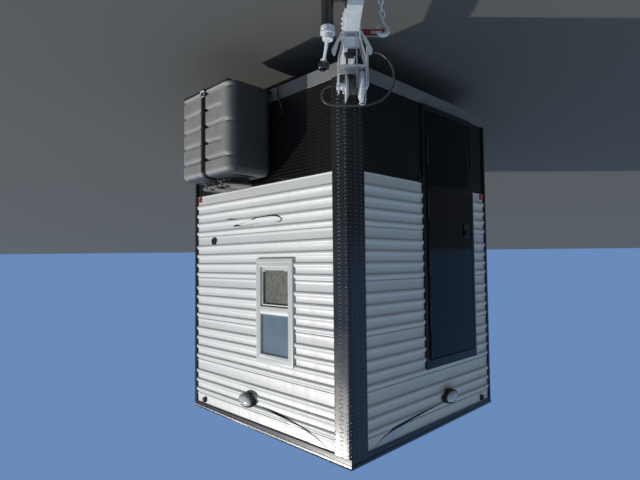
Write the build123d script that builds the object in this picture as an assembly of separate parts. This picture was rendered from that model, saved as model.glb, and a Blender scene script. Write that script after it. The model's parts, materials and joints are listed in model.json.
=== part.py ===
"""Tow-behind ice fishing hut with a pointed nose, its door in the left nose wall.

Millimetres. +Z is up, the tongue points to -Y, and X = 0 is the centreline.
The origin is on the ground, in the middle of the whole object's outline.
"""
from build123d import *
from math import atan2, cos, pi, radians, sin, sqrt, tan
import os

os.makedirs("parts", exist_ok=True)

# House
WIDTH = 2462.0
BOX_LENGTH = 3658.0
NOSE_HALF_ANGLE = 45.8
GROUND_CLEARANCE = 250.0
WALL_THICKNESS = 50.0
WALL_TOP = 2650.0
ROOF_EDGE = 38.0
ROOF_CROWN = 22.0

# Floor frame
RAIL_DEPTH = 100.0
RAIL_WIDTH = 50.0
DECK_THICKNESS = 18.0

# Outer skins
SHEET_THICKNESS = 2.0
SHEET_HEIGHT = 340.0
BEAD_DEPTH = 10.0
BEAD_HEIGHT = 28.0
BEAD_SLOPE = 7.0
BEAD_PITCH = 75.0
BEAD_COUNT = 4
FIRST_BEAD_DROP = 42.0
TOP_STRIP = 77.0
SKIRT_HEIGHT = 586.0
SKIRT_THICKNESS = 3.0
ARCH_EDGE = 20.0
ARCH_BEVEL = 160.0
PLATE_THICKNESS = 3.0
NOSE_TRIM_LEFT_LEG = 135.0
NOSE_TRIM_RIGHT_LEG = 116.0
CORNER_TRIM_LEG = 27.0
SEAM_LAP = 6.0
ROOF_TRIM_OUT = 18.0
ROOF_BAND = 26.0
ROOF_TRIM_LIP = 45.0

# Door
DOOR_FROM_SHOULDER = 216.0
DOOR_FRAME_WIDTH = 721.0
DOOR_FRAME_TOP = 2262.0
DOOR_PANEL_MARGIN = 34.0
DOOR_RAIL_WIDTH = 20.0
DOOR_RAIL_PROUD = 4.0
DOOR_JAMB_HINGE_SIDE = 43.0
DOOR_JAMB_LATCH_SIDE = 35.0
DOOR_HEAD = 62.0
DOOR_SILL = 40.0
DOOR_FRAME_LIP = 15.0
DOOR_FRAME_PROUD = 18.0
DOOR_THICKNESS = 40.0
DOOR_CLEARANCE = 5.0
DOOR_LATCH_CLEARANCE = 8.0
DOOR_STOP_WIDTH = 15.0
DOOR_RAIL_HEIGHT = 940.0
HINGE_RADIUS = 6.0
HINGE_PIN_RADIUS = 3.0
HINGE_STAND = 1.5
HINGE_PIN_CLEARANCE = 0.1
HINGE_LEAF_THICKNESS = 2.5
HINGE_LEAF_WIDTH = 26.0
HINGE_KNUCKLES = 9
HINGE_KNUCKLE_GAP = 1.5
HANDLE_HEIGHT = 1258.0
HANDLE_FROM_EDGE = 85.0
HANDLE_PLATE = (72.0, 112.0)
CATCH_SIZE = (44.0, 60.0)
CATCH_ABOVE_SKIRT = -30.0

# Windows
WINDOW_WIDTH = 394.0
WINDOW_HEIGHT = 730.0
WINDOW_SILL = 1466.0
WINDOW_FLANGE = 20.0
WINDOW_PROUD = 22.0
WINDOW_SIDE = 47.0
WINDOW_TOP_RAIL = 62.0
WINDOW_BOTTOM_RAIL = 38.0
WINDOW_UPPER_PANE = 276.0
WINDOW_LOWER_PANE = 300.0
SASH_WIDTH = 25.0
SASH_THICKNESS = 20.0
SASH_SETBACK = 10.0
SCREEN_THICKNESS = 2.0
SCREEN_SETBACK = 4.0
GLASS_THICKNESS = 4.0
WINDOW_FROM_NOSE = 482.0
SIDE_WINDOW_STARTS = (480.0, 2790.0)

# Wheels
TYRE_RADIUS = 344.0
TYRE_WIDTH = 205.0
RIM_RADIUS = 190.0
AXLE_SETBACK = 1980.0
WHEEL_INSET = 20.0
WELL_WIDTH = 260.0
WELL_LENGTH = 900.0
WELL_TOP = 790.0
WELL_SHEET = 4.0
TYRE_SHOULDER = 34.0
RIM_HALF = 80.0
RIM_WALL = 14.0
RIM_DISH = 24.0
RIM_HOLE_RING = 105.0
RIM_HOLE_RADIUS = 24.0
HUB_RADIUS = 46.0
HUB_LENGTH = 60.0
ARM_SETBACK = 380.0
ARM_PIVOT_HEIGHT = 300.0
ARM_THICKNESS = 26.0
ARM_END_RADIUS = 45.0
ARM_PIVOT_RADIUS = 38.0
SPINDLE_RADIUS = 30.0
ARM_GAP = 8.0

# Lights, reflectors, cable port and hose fitting
PORCH_ABOVE_DOOR = 235.0
PORCH_BASE = (82.0, 52.0)
PORCH_BASE_DEPTH = 30.0
PORCH_LENS = (68.0, 38.0)
PORCH_LENS_DEPTH = 18.0
PORCH_LEFT = 1064.0
PORCH_RIGHT = 980.0
MARKER_DROP = 33.0
MARKER_INSET = 136.0
MARKER_SIZE = (34.0, 40.0)
MARKER_DEPTH = 20.0
REFLECTOR_SIZE = (30.0, 44.0)
REFLECTOR_INSET = 61.0
REAR_REFLECTOR_INSET = 200.0
REFLECTOR_DEPTH = 8.0
PORT_FROM_SHOULDER = 273.0
PORT_HEIGHT = 1317.0
PORT_RADIUS = 24.0
PORT_PROUD = 16.0

# Gas bottle cover on the right nose wall
COVER_FROM_SHOULDER = 400.0
COVER_LENGTH = 652.0
COVER_GAP = 26.0
COVER_WIDTH = 356.0
COVER_BOTTOM = 285.0
COVER_HEIGHT = 614.0
COVER_CORNER = 112.0
COVER_EDGE = 46.0
GROOVE_DEPTH = 11.0
GROOVE_HEIGHT = 26.0
GROOVE_PITCH = 116.0
GROOVE_COUNT = 5
FIRST_GROOVE = 18.0
LONG_GROOVE_INSET = 60.0
SHORT_GROOVE_INSET = 135.0
LID_LENGTH = 440.0
LID_WIDTH = 226.0
LID_CORNER = 100.0
LID_LIFT = 24.0
LID_THICKNESS = 18.0
LID_NECK_INSET = 22.0
LID_SETBACK = 34.0
STRAP_FROM_MIDDLE = 18.0
STRAP_WIDTH = 42.0
STRAP_THICKNESS = 5.0
STRAP_REACH = 70.0
TRAY_THICKNESS = 6.0
TRAY_INSET = 40.0
GUSSET_THICKNESS = 6.0

# Gas hose
GAS_HOSE_RADIUS = 6.0
HOSE_STAND = 8.0
FITTING_HEIGHT = 450.0
FITTING_TO_COVER = 64.0
FITTING_SIZE = (40.0, 28.0)

# Tongue
TONGUE_REACH = 1200.0
TONGUE_WIDTH = 76.0
COUPLER_LENGTH = 210.0
COUPLER_BALL_RADIUS = 25.7
COUPLER_WALL = 6.0
COUPLER_HOUSING = 72.0
COUPLER_LAP = 70.0
SOCKET_LENGTH = 28.0
BALL_FROM_TIP = 52.0

# Winch on its post
WINCH_AHEAD = 474.0
WINCH_AXIS = 617.0
WINCH_WIDTH = 140.0
WINCH_PLATE = 5.0
GEAR_GAP = 8.0
FLANGE_CUP = 12.0
FLANGE_THICKNESS = 4.0
FLANGE_INSET = 47.0
NUT_RADIUS = 13.0
NUT_LENGTH = 9.0
PINION_DROP = 48.0
AXLE_RADIUS = 8.0
SHAFT_RADIUS = 9.0
SHAFT_CLEARANCE = 0.1
WINCH_CRANK_LENGTH = 225.0
GEAR_RADIUS = 77.0
GEAR_TEETH = 44
GEAR_THICKNESS = 16.0
PINION_TEETH = 9
GEAR_BACKLASH = 1.5
DRUM_RADIUS = 22.0
CABLE_WRAP_RADIUS = 38.0
CABLE_RADIUS = 3.0
POST_PLATE = 6.0
POST_DEPTH = 90.0
POST_KNEE = 30.0
EAR_REACH = 40.0
EAR_HEIGHT = 66.0
EAR_WIDTH = 40.0
GUIDE_LIFT = 16.0
GUIDE_HEIGHT = 54.0
HOOP_WIRE = 2.5
HOOP_RISE = 16.0
PAWL_RADIUS = 8.0
PAWL_REACH = 24.0

# Safety chain and its keeper
KEEPER_X = 160.0
KEEPER_Z = 335.0
KEEPER_HALF = 24.0
KEEPER_RADIUS = 5.0
HOOK_RADIUS = 27.0
HOOK_WIRE = 9.0
HOOK_SHANK = 58.0
CHAIN_WIRE = 8.0
CHAIN_PITCH = 30.0
CHAIN_WIDTH = 29.0
CHAIN_LINKS = 15
CHAIN_SLACK = 1.2
EYE_RADIUS = 17.0
EYE_HOLE = 11.0
EYE_PLAY = 3.0
CHAIN_END_AHEAD = 734.0
CHAIN_END_OUT = 16.0
CHAIN_END_LIFT = 20.0

# Wiring cable
WIRE_RADIUS = 6.0
WIRE_X = 12.0
WIRE_AHEAD = 274.0
GROMMET_HEIGHT = 22.0
PLUG_RADIUS = 20.0
PLUG_NECK = 26.0
PLUG_LENGTH = 84.0

# Tongue jack
JACK_AHEAD = 784.0
JACK_X = 125.0
JACK_RADIUS = 28.5
JACK_TOP = 486.0
JACK_BOTTOM = 150.0
JACK_LEG_RADIUS = 24.0
JACK_FOOT_RADIUS = 75.0
CRANK_REACH = 173.0
CRANK_ARM = 7.5
CRANK_HUB_RADIUS = 24.0
KNOB_OFFSET = 18.0
KNOB_HEIGHT = 545.0
JACK_SHAFT_RADIUS = 9.0
JACK_CAP = 14.0
JACK_BRACKET = 60.0
JACK_SLEEVE = 120.0
FOOT_THICKNESS = 8.0
CRANK_HUB = 24.0
CRANK_GAP = 1.0


class Wall:
    """One straight wall face: s runs along it, out points outdoors."""

    def __init__(self, start, end, outward):
        self.start = Vector(*start)
        self.along = (Vector(*end) - self.start).normalized()
        self.length = (Vector(*end) - self.start).length
        self.outward = Vector(*outward).normalized()

    def at(self, s, out, z):
        return self.start + self.along * s + self.outward * out + Vector(0, 0, z)

    def face(self, s, out, z):
        up = Vector(0, 0, 1)
        return Plane(origin=self.at(s, out, z), x_dir=up.cross(self.outward), z_dir=self.outward)

    def block(self, s0, s1, out0, out1, z0, z1):
        middle = self.at((s0 + s1) / 2, (out0 + out1) / 2, (z0 + z1) / 2)
        plane = Plane(origin=middle, x_dir=self.along, z_dir=(0, 0, 1))
        return plane * Box(abs(s1 - s0), abs(out1 - out0), z1 - z0)

    def run(self, outline, s0, s1):
        """Pushes an outline of (out, z) points along the wall."""
        across = self.outward.cross(Vector(0, 0, 1))
        plane = Plane(origin=self.at(s0, 0, 0), x_dir=self.outward, z_dir=across)
        return extrude(plane * Polygon(*outline, align=None), amount=s1 - s0, dir=self.along)


# Plan of the house
HALF = WIDTH / 2
NOSE_DEPTH = HALF / tan(radians(NOSE_HALF_ANGLE))
OVERALL_LENGTH = TONGUE_REACH + NOSE_DEPTH + BOX_LENGTH + max(ROOF_TRIM_OUT, WINDOW_PROUD)
NOSE_Y = -OVERALL_LENGTH / 2 + TONGUE_REACH
SHOULDER_Y = NOSE_Y + NOSE_DEPTH
REAR_Y = SHOULDER_Y + BOX_LENGTH
nose_normal = (cos(radians(NOSE_HALF_ANGLE)), -sin(radians(NOSE_HALF_ANGLE)), 0)

nose_right = Wall((0, NOSE_Y, 0), (HALF, SHOULDER_Y, 0), nose_normal)
right = Wall((HALF, SHOULDER_Y, 0), (HALF, REAR_Y, 0), (1, 0, 0))
rear = Wall((HALF, REAR_Y, 0), (-HALF, REAR_Y, 0), (0, 1, 0))
left = Wall((-HALF, SHOULDER_Y, 0), (-HALF, REAR_Y, 0), (-1, 0, 0))
nose_left = Wall((0, NOSE_Y, 0), (-HALF, SHOULDER_Y, 0), (-nose_normal[0], nose_normal[1], 0))
ring = [nose_right, right, rear, left, nose_left]

# Levels
RAIL_TOP = GROUND_CLEARANCE + RAIL_DEPTH
DECK_TOP = RAIL_TOP + DECK_THICKNESS
SIDING_BASE = RAIL_TOP + SKIRT_HEIGHT
ROOF_EAVES = WALL_TOP + ROOF_EDGE
ROOF_TOP = ROOF_EAVES + ROOF_CROWN
SIDING_TOP = WALL_TOP
BEAD_OUT = SHEET_THICKNESS + BEAD_DEPTH
AXLE_Y = SHOULDER_Y + AXLE_SETBACK


def save(name, *solids):
    shape = solids[0] if len(solids) == 1 else Compound(children=list(solids))
    export_step(shape, f"parts/{name}.step")


def prism(points, z0, z1):
    return extrude(Plane.XY.offset(z0) * Polygon(*points, align=None), amount=z1 - z0, dir=(0, 0, 1))


def block(x0, x1, y0, y1, z0, z1):
    return Pos((x0 + x1) / 2, (y0 + y1) / 2, (z0 + z1) / 2) * Box(abs(x1 - x0), abs(y1 - y0), z1 - z0)


def rod(start, end, radius):
    """A round bar from one point to another."""
    axis = Vector(*end) - Vector(*start)
    return extrude(Plane(origin=start, z_dir=axis) * Circle(radius), amount=axis.length)


def corner(wall_a, wall_b, out):
    """Where two walls meet in plan when both are moved outwards by out."""
    foot = wall_a.start + wall_a.outward * out
    gap = (wall_b.start + wall_b.outward * out - foot).dot(wall_b.outward)
    point = foot + wall_a.along * (gap / wall_a.along.dot(wall_b.outward))
    return (point.X, point.Y)


def outline(out):
    return [corner(ring[i - 1], ring[i], out) for i in range(len(ring))]


def strip(index, out0, out1, z0, z1):
    """A mitred piece of one wall of the ring, between two offsets."""
    before, wall, after = ring[index - 1], ring[index], ring[(index + 1) % len(ring)]
    points = [
        corner(before, wall, out1),
        corner(wall, after, out1),
        corner(wall, after, out0),
        corner(before, wall, out0),
    ]
    return prism(points, z0, z1)


def angle_trim(wall_a, s_a, wall_b, s_b, out0, out1, z0, z1):
    """A bent plate round a corner, with its legs ending at s_a and s_b."""
    points = [
        tuple(wall_a.at(s_a, out1, 0))[:2],
        corner(wall_a, wall_b, out1),
        tuple(wall_b.at(s_b, out1, 0))[:2],
        tuple(wall_b.at(s_b, out0, 0))[:2],
        corner(wall_a, wall_b, out0),
        tuple(wall_a.at(s_a, out0, 0))[:2],
    ]
    return prism(points, z0, z1)


def tube(points, radius):
    """A round tube along straight runs joined by the largest arcs that fit."""
    radii = []
    for before, here, after in zip(points, points[1:], points[2:]):
        turn = radians((here - before).get_angle(after - here))
        shorter = min((here - before).length, (after - here).length)
        radii.append(0.45 * shorter / tan(turn / 2))
    path = FilletPolyline(*points, radius=radii)
    section = Plane(origin=path @ 0, z_dir=path % 0) * Circle(radius)
    solid = sweep(section, path=path)
    print("tube", round(path.length, 1), "tightest", round(min(radii), 1),
          "volume ratio", round(solid.volume / (pi * radius ** 2 * path.length), 4))
    return solid


# Floor frame
WELL_INNER = HALF - WELL_WIDTH
POCKET_FRONT = AXLE_Y - WELL_LENGTH / 2
POCKET_REAR = AXLE_Y + WELL_LENGTH / 2
inner_x = HALF - RAIL_WIDTH

tongue_half = TONGUE_WIDTH / 2
beam_end = SHOULDER_Y - RAIL_WIDTH / 2
coupler_back = NOSE_Y - TONGUE_REACH + COUPLER_LENGTH
beam_front = coupler_back - 60
tongue_beam = block(-tongue_half, tongue_half, beam_front, beam_end, GROUND_CLEARANCE, RAIL_TOP)
save("tongue_beam", tongue_beam)

nose_rails = [strip(i, -RAIL_WIDTH, 0, GROUND_CLEARANCE, RAIL_TOP) - tongue_beam for i in (0, 4)]
save("nose_rails", *nose_rails)

side_rails = []
for sign, index in ((1, 1), (-1, 3)):
    rail = strip(index, -RAIL_WIDTH, 0, GROUND_CLEARANCE, RAIL_TOP)
    gap = block(sign * inner_x, sign * HALF, POCKET_FRONT, POCKET_REAR, 0, ROOF_TOP)
    side_rails += (rail - gap).solids()
    side_rails.append(block(sign * (WELL_INNER - RAIL_WIDTH), sign * WELL_INNER,
                            POCKET_FRONT, POCKET_REAR, GROUND_CLEARANCE, RAIL_TOP))
save("side_rails", *side_rails)

cross_centres = [
    SHOULDER_Y,
    (SHOULDER_Y + POCKET_FRONT) / 2,
    POCKET_FRONT - RAIL_WIDTH / 2,
    POCKET_REAR + RAIL_WIDTH / 2,
    (POCKET_REAR + REAR_Y) / 2,
]
cross_members = [
    block(-inner_x, inner_x, y - RAIL_WIDTH / 2, y + RAIL_WIDTH / 2, GROUND_CLEARANCE, RAIL_TOP)
    for y in cross_centres
]
first = prism([
    corner(nose_left, left, -RAIL_WIDTH),
    corner(nose_right, right, -RAIL_WIDTH),
    (inner_x, SHOULDER_Y + RAIL_WIDTH / 2),
    (-inner_x, SHOULDER_Y + RAIL_WIDTH / 2),
], GROUND_CLEARANCE, RAIL_TOP)
cross_members[0] = first - block(-tongue_half, tongue_half, NOSE_Y, beam_end, 0, ROOF_TOP)
cross_members.append(strip(2, -RAIL_WIDTH, 0, GROUND_CLEARANCE, RAIL_TOP))
save("cross_members", *cross_members)

pockets = [
    block(sign * (WELL_INNER - WELL_SHEET), sign * (HALF + RAIL_WIDTH), POCKET_FRONT, POCKET_REAR,
          0, WELL_TOP)
    for sign in (1, -1)
]
floor_deck = prism(outline(0), RAIL_TOP, DECK_TOP) - pockets[0] - pockets[1]
save("floor_deck", floor_deck)

wheel_wells = []
for sign, pocket in zip((1, -1), pockets):
    shell = block(sign * (WELL_INNER - WELL_SHEET), sign * HALF, POCKET_FRONT, POCKET_REAR, RAIL_TOP, WELL_TOP)
    hollow = block(sign * WELL_INNER, sign * (HALF + RAIL_WIDTH), POCKET_FRONT + WELL_SHEET,
                   POCKET_REAR - WELL_SHEET, 0, WELL_TOP - WELL_SHEET)
    wheel_wells.append(shell - hollow)
save("wheel_wells", *wheel_wells)

# Windows, each a place on a wall
WINDOW_TOP = WINDOW_SILL + WINDOW_HEIGHT
windows = [(nose_right, WINDOW_FROM_NOSE)]
for wall in (right, left):
    windows += [(wall, s) for s in SIDE_WINDOW_STARTS]
windows.append((rear, (WIDTH - WINDOW_WIDTH) / 2))


def window_hole(wall, s, border, out0, out1):
    return wall.block(s + border, s + WINDOW_WIDTH - border, out0, out1,
                      WINDOW_SILL + border, WINDOW_TOP - border)


def cut_windows(shape, wall, border):
    for other, s in windows:
        if other is wall:
            shape = shape - window_hole(wall, s, border, -2 * WALL_THICKNESS, 2 * WALL_THICKNESS)
    return shape


# Walls
DOOR_FRAME_END = nose_left.length - DOOR_FROM_SHOULDER
DOOR_FRAME_START = DOOR_FRAME_END - DOOR_FRAME_WIDTH
neck_start = DOOR_FRAME_START + DOOR_FRAME_LIP
neck_end = DOOR_FRAME_END - DOOR_FRAME_LIP
neck_top = DOOR_FRAME_TOP - DOOR_FRAME_LIP
core = [strip(i, -WALL_THICKNESS, 0, DECK_TOP, WALL_TOP) for i in range(5)]

reach = 2 * WALL_THICKNESS
door_column = nose_left.block(neck_start, neck_end, -reach, reach, 0, ROOF_TOP)
inner_part, outer_part = (core[4] - door_column).solids().sort_by(Axis.X, reverse=True)
save("nose_left_wall_inner", inner_part)
save("nose_left_wall_outer", outer_part)
save("door_header", nose_left.block(neck_start, neck_end, -WALL_THICKNESS, 0, neck_top, WALL_TOP))
save("nose_right_wall", cut_windows(core[0], nose_right, WINDOW_FLANGE))
save("right_wall", cut_windows(core[1], right, WINDOW_FLANGE) - pockets[0])
save("left_wall", cut_windows(core[3], left, WINDOW_FLANGE) - pockets[1])
save("rear_wall", cut_windows(core[2], rear, WINDOW_FLANGE))


# Roof: crowned, so that its edge is deepest at the nose
def crowned(out, low, lift):
    """The house's plan grown by out, from a level up to the crowned roof line and lift above it."""
    reach_x = HALF + out
    fall = ROOF_CROWN * reach_x / HALF
    top = ROOF_TOP + lift
    section = [(-reach_x, low), (reach_x, low), (reach_x, top - fall), (0, top), (-reach_x, top - fall)]
    face = Plane(origin=(0, REAR_Y + out, 0), x_dir=(1, 0, 0), z_dir=(0, -1, 0))
    bar = extrude(face * Polygon(*section, align=None), amount=REAR_Y - NOSE_Y + 4 * out, dir=(0, -1, 0))
    return bar & prism(outline(out), low, ROOF_TOP + 3 * PLATE_THICKNESS)


def crowned_below(out, drop):
    """The same plan, from the siding's top up to drop under the roof line."""
    return crowned(out, SIDING_TOP, -drop)


save("roof_panel", crowned(0, WALL_TOP, 0))
roof_trim = crowned(ROOF_TRIM_OUT, SIDING_TOP, PLATE_THICKNESS)
roof_trim -= crowned_below(0, 0)
roof_trim -= crowned(-ROOF_TRIM_LIP, SIDING_TOP, 2 * PLATE_THICKNESS)
below_band = crowned(2 * ROOF_TRIM_OUT, SIDING_TOP, -ROOF_BAND) - prism(outline(BEAD_OUT), SIDING_TOP, ROOF_TOP)
save("roof_trim", roof_trim - below_band)


# Ribbed siding
def siding_outline(base, top):
    """Courses of one sheet each, with the beads of a course hanging from the lap above it."""
    top_lap = top - TOP_STRIP
    laps = [base + SHEET_HEIGHT * i for i in range(int((top_lap - BEAD_PITCH - base) / SHEET_HEIGHT) + 1)]
    front = [(SHEET_THICKNESS, base)]
    for low, high in zip(laps, laps[1:] + [top_lap]):
        for i in reversed(range(BEAD_COUNT)):
            foot = high - FIRST_BEAD_DROP - i * BEAD_PITCH
            if foot > low + BEAD_HEIGHT:
                front += [
                    (SHEET_THICKNESS, foot),
                    (BEAD_OUT, foot + BEAD_SLOPE),
                    (BEAD_OUT, foot + BEAD_HEIGHT - BEAD_SLOPE),
                    (SHEET_THICKNESS, foot + BEAD_HEIGHT),
                ]
    return front + [(SHEET_THICKNESS, top), (0, top), (0, base)]


profile = siding_outline(SIDING_BASE, SIDING_TOP)
nose_right_siding = nose_right.run(profile, NOSE_TRIM_RIGHT_LEG - SEAM_LAP, nose_right.length - SEAM_LAP)
nose_left_siding = nose_left.run(profile, NOSE_TRIM_LEFT_LEG - SEAM_LAP, nose_left.length - SEAM_LAP)
door_cut = nose_left.block(DOOR_FRAME_START, DOOR_FRAME_END, -reach, reach, 0, DOOR_FRAME_TOP)
port = nose_right.face(nose_right.length - PORT_FROM_SHOULDER, 0, PORT_HEIGHT)
nose_right_siding -= extrude(port * Circle(PORT_RADIUS), amount=reach)
save("nose_right_siding", cut_windows(nose_right_siding, nose_right, 0))
save("nose_left_siding", nose_left_siding - door_cut)
side_siding = [cut_windows(wall.run(profile, SEAM_LAP, wall.length - SEAM_LAP), wall, 0) for wall in (right, left)]
save("side_siding", *side_siding)
save("rear_siding", cut_windows(rear.run(profile, SEAM_LAP, rear.length - SEAM_LAP), rear, 0))

# Tread plate skirts
skirts = [nose_right.block(NOSE_TRIM_RIGHT_LEG - SEAM_LAP, nose_right.length - SEAM_LAP, 0, SKIRT_THICKNESS,
                           RAIL_TOP, SIDING_BASE)]
skirts.append(nose_left.block(NOSE_TRIM_LEFT_LEG - SEAM_LAP, DOOR_FRAME_START, 0, SKIRT_THICKNESS,
                              RAIL_TOP, SIDING_BASE))
skirts.append(nose_left.block(DOOR_FRAME_END, nose_left.length - SEAM_LAP, 0, SKIRT_THICKNESS,
                              RAIL_TOP, SIDING_BASE))
skirts.append(rear.block(SEAM_LAP, rear.length - SEAM_LAP, 0, SKIRT_THICKNESS, RAIL_TOP, SIDING_BASE))
arch_half = WELL_LENGTH / 2 - ARCH_EDGE
arch_top = WELL_TOP - ARCH_EDGE
for wall in (right, left):
    plate = wall.block(SEAM_LAP, wall.length - SEAM_LAP, 0, SKIRT_THICKNESS, RAIL_TOP, SIDING_BASE)
    arch = [
        (AXLE_SETBACK - arch_half, 0),
        (AXLE_SETBACK + arch_half, 0),
        (AXLE_SETBACK + arch_half, arch_top - ARCH_BEVEL),
        (AXLE_SETBACK + arch_half - ARCH_BEVEL, arch_top),
        (AXLE_SETBACK - arch_half + ARCH_BEVEL, arch_top),
        (AXLE_SETBACK - arch_half, arch_top - ARCH_BEVEL),
    ]
    side = Plane(origin=wall.at(0, -reach, 0), x_dir=wall.along, z_dir=wall.along.cross(Vector(0, 0, 1)))
    cutter = extrude(side * Polygon(*arch, align=None), amount=4 * reach, both=True)
    skirts.append(plate - cutter)
save("skirt_plates", *skirts)

# Corner trims
trim_in = BEAD_OUT
trim_out = BEAD_OUT + PLATE_THICKNESS
save("nose_corner_trim", angle_trim(nose_left, NOSE_TRIM_LEFT_LEG, nose_right, NOSE_TRIM_RIGHT_LEG,
                                    trim_in, trim_out, RAIL_TOP, SIDING_TOP))
save("corner_trims",
     angle_trim(nose_right, nose_right.length - CORNER_TRIM_LEG, right, CORNER_TRIM_LEG,
                trim_in, trim_out, RAIL_TOP, SIDING_TOP),
     angle_trim(nose_left, nose_left.length - CORNER_TRIM_LEG, left, CORNER_TRIM_LEG,
                trim_in, trim_out, RAIL_TOP, SIDING_TOP),
     angle_trim(right, right.length - CORNER_TRIM_LEG, rear, CORNER_TRIM_LEG,
                trim_in, trim_out, RAIL_TOP, SIDING_TOP),
     angle_trim(left, left.length - CORNER_TRIM_LEG, rear, rear.length - CORNER_TRIM_LEG,
                trim_in, trim_out, RAIL_TOP, SIDING_TOP))

# Door frame: a flange over the siding, a neck through the wall and a stop behind the door
gap_start = DOOR_FRAME_START + DOOR_JAMB_HINGE_SIDE
gap_end = DOOR_FRAME_END - DOOR_JAMB_LATCH_SIDE
gap_bottom = RAIL_TOP + DOOR_SILL
gap_top = DOOR_FRAME_TOP - DOOR_HEAD
door_front = DOOR_FRAME_PROUD
door_back = door_front - DOOR_THICKNESS
stop_front = door_back - DOOR_CLEARANCE
frame_solid = nose_left.block(DOOR_FRAME_START, DOOR_FRAME_END, 0, DOOR_FRAME_PROUD, RAIL_TOP, DOOR_FRAME_TOP)
frame_solid += nose_left.block(neck_start, neck_end, -WALL_THICKNESS, 0, DECK_TOP, neck_top)
frame_solid -= nose_left.block(gap_start, gap_end, stop_front, reach, gap_bottom, gap_top)
frame_solid -= nose_left.block(gap_start + DOOR_STOP_WIDTH, gap_end - DOOR_STOP_WIDTH, -reach, reach,
                               gap_bottom, gap_top - DOOR_STOP_WIDTH)
save("door_frame", frame_solid)

# Door
door_start = gap_start + DOOR_CLEARANCE
door_end = gap_end - DOOR_LATCH_CLEARANCE
door_bottom = gap_bottom + DOOR_CLEARANCE
door_top = gap_top - DOOR_CLEARANCE
door = nose_left.block(door_start, door_end, door_back, door_front, door_bottom, door_top)
rail_half = DOOR_RAIL_WIDTH / 2
door += nose_left.block(door_start + DOOR_PANEL_MARGIN, door_end - DOOR_PANEL_MARGIN, door_front, door_front + 2,
                        door_bottom + DOOR_PANEL_MARGIN, DOOR_RAIL_HEIGHT - rail_half)
door += nose_left.block(door_start + HINGE_LEAF_WIDTH, door_end, door_front, door_front + DOOR_RAIL_PROUD,
                        DOOR_RAIL_HEIGHT - rail_half, DOOR_RAIL_HEIGHT + rail_half)
save("door_slab", door)

# Hinge: knuckles in turn on the frame and on the door, round one pin
hinge_s = gap_start + DOOR_CLEARANCE / 2
hinge_out = door_front + HINGE_RADIUS + HINGE_STAND
leaf_tip = door_front + HINGE_LEAF_THICKNESS
knuckle_pitch = (door_top - door_bottom) / HINGE_KNUCKLES


def knuckle(index):
    low = door_bottom + index * knuckle_pitch + HINGE_KNUCKLE_GAP / 2
    high = door_bottom + (index + 1) * knuckle_pitch - HINGE_KNUCKLE_GAP / 2
    return low, high


pin_foot = nose_left.at(hinge_s, hinge_out, door_bottom)
pin_head = nose_left.at(hinge_s, hinge_out, door_top)
hinge_pin = rod(pin_foot, pin_head, HINGE_PIN_RADIUS)
hinge_leaf = None
for i in range(HINGE_KNUCKLES):
    low, high = knuckle(i)
    barrel = rod(nose_left.at(hinge_s, hinge_out, low), nose_left.at(hinge_s, hinge_out, high), HINGE_RADIUS)
    if i % 2 == 0:
        hinge_pin += barrel
        hinge_pin += nose_left.block(hinge_s - HINGE_LEAF_WIDTH, hinge_s, door_front, leaf_tip, low, high)
    else:
        strap = nose_left.block(hinge_s, hinge_s + HINGE_LEAF_WIDTH, door_front, leaf_tip, low, high)
        hinge_leaf = strap + barrel if hinge_leaf is None else hinge_leaf + strap + barrel
bore = rod(pin_foot - Vector(0, 0, 1), pin_head + Vector(0, 0, 1), HINGE_PIN_RADIUS + HINGE_PIN_CLEARANCE)
save("hinge_pin", hinge_pin)
save("hinge_leaf", *(hinge_leaf - bore).solids())

# Door handle: a plate with a paddle
handle_s = door_end - HANDLE_FROM_EDGE
handle_base = nose_left.face(handle_s, door_front, HANDLE_HEIGHT)
handle = extrude(handle_base * RectangleRounded(*HANDLE_PLATE, 12), amount=7)
handle -= extrude(handle_base.offset(4) * (Pos(0, 8) * RectangleRounded(46, 62, 8)), amount=7)
handle += extrude(handle_base * (Pos(0, 14) * RectangleRounded(36, 40, 6)), amount=20, taper=12)
handle += extrude(handle_base * (Pos(0, -40) * Circle(9)), amount=11)
save("door_handle", handle)

# A catch on the skirt by the hinge, which holds the door when it stands open
catch_z = SIDING_BASE + CATCH_ABOVE_SKIRT
catch_s = DOOR_FRAME_START - CATCH_SIZE[0] / 2
catch = extrude(nose_left.face(catch_s, SKIRT_THICKNESS, catch_z) * RectangleRounded(*CATCH_SIZE, 8), amount=5)
catch += extrude(nose_left.face(catch_s, SKIRT_THICKNESS + 5, catch_z) * Circle(13), amount=22, taper=8)

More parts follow.
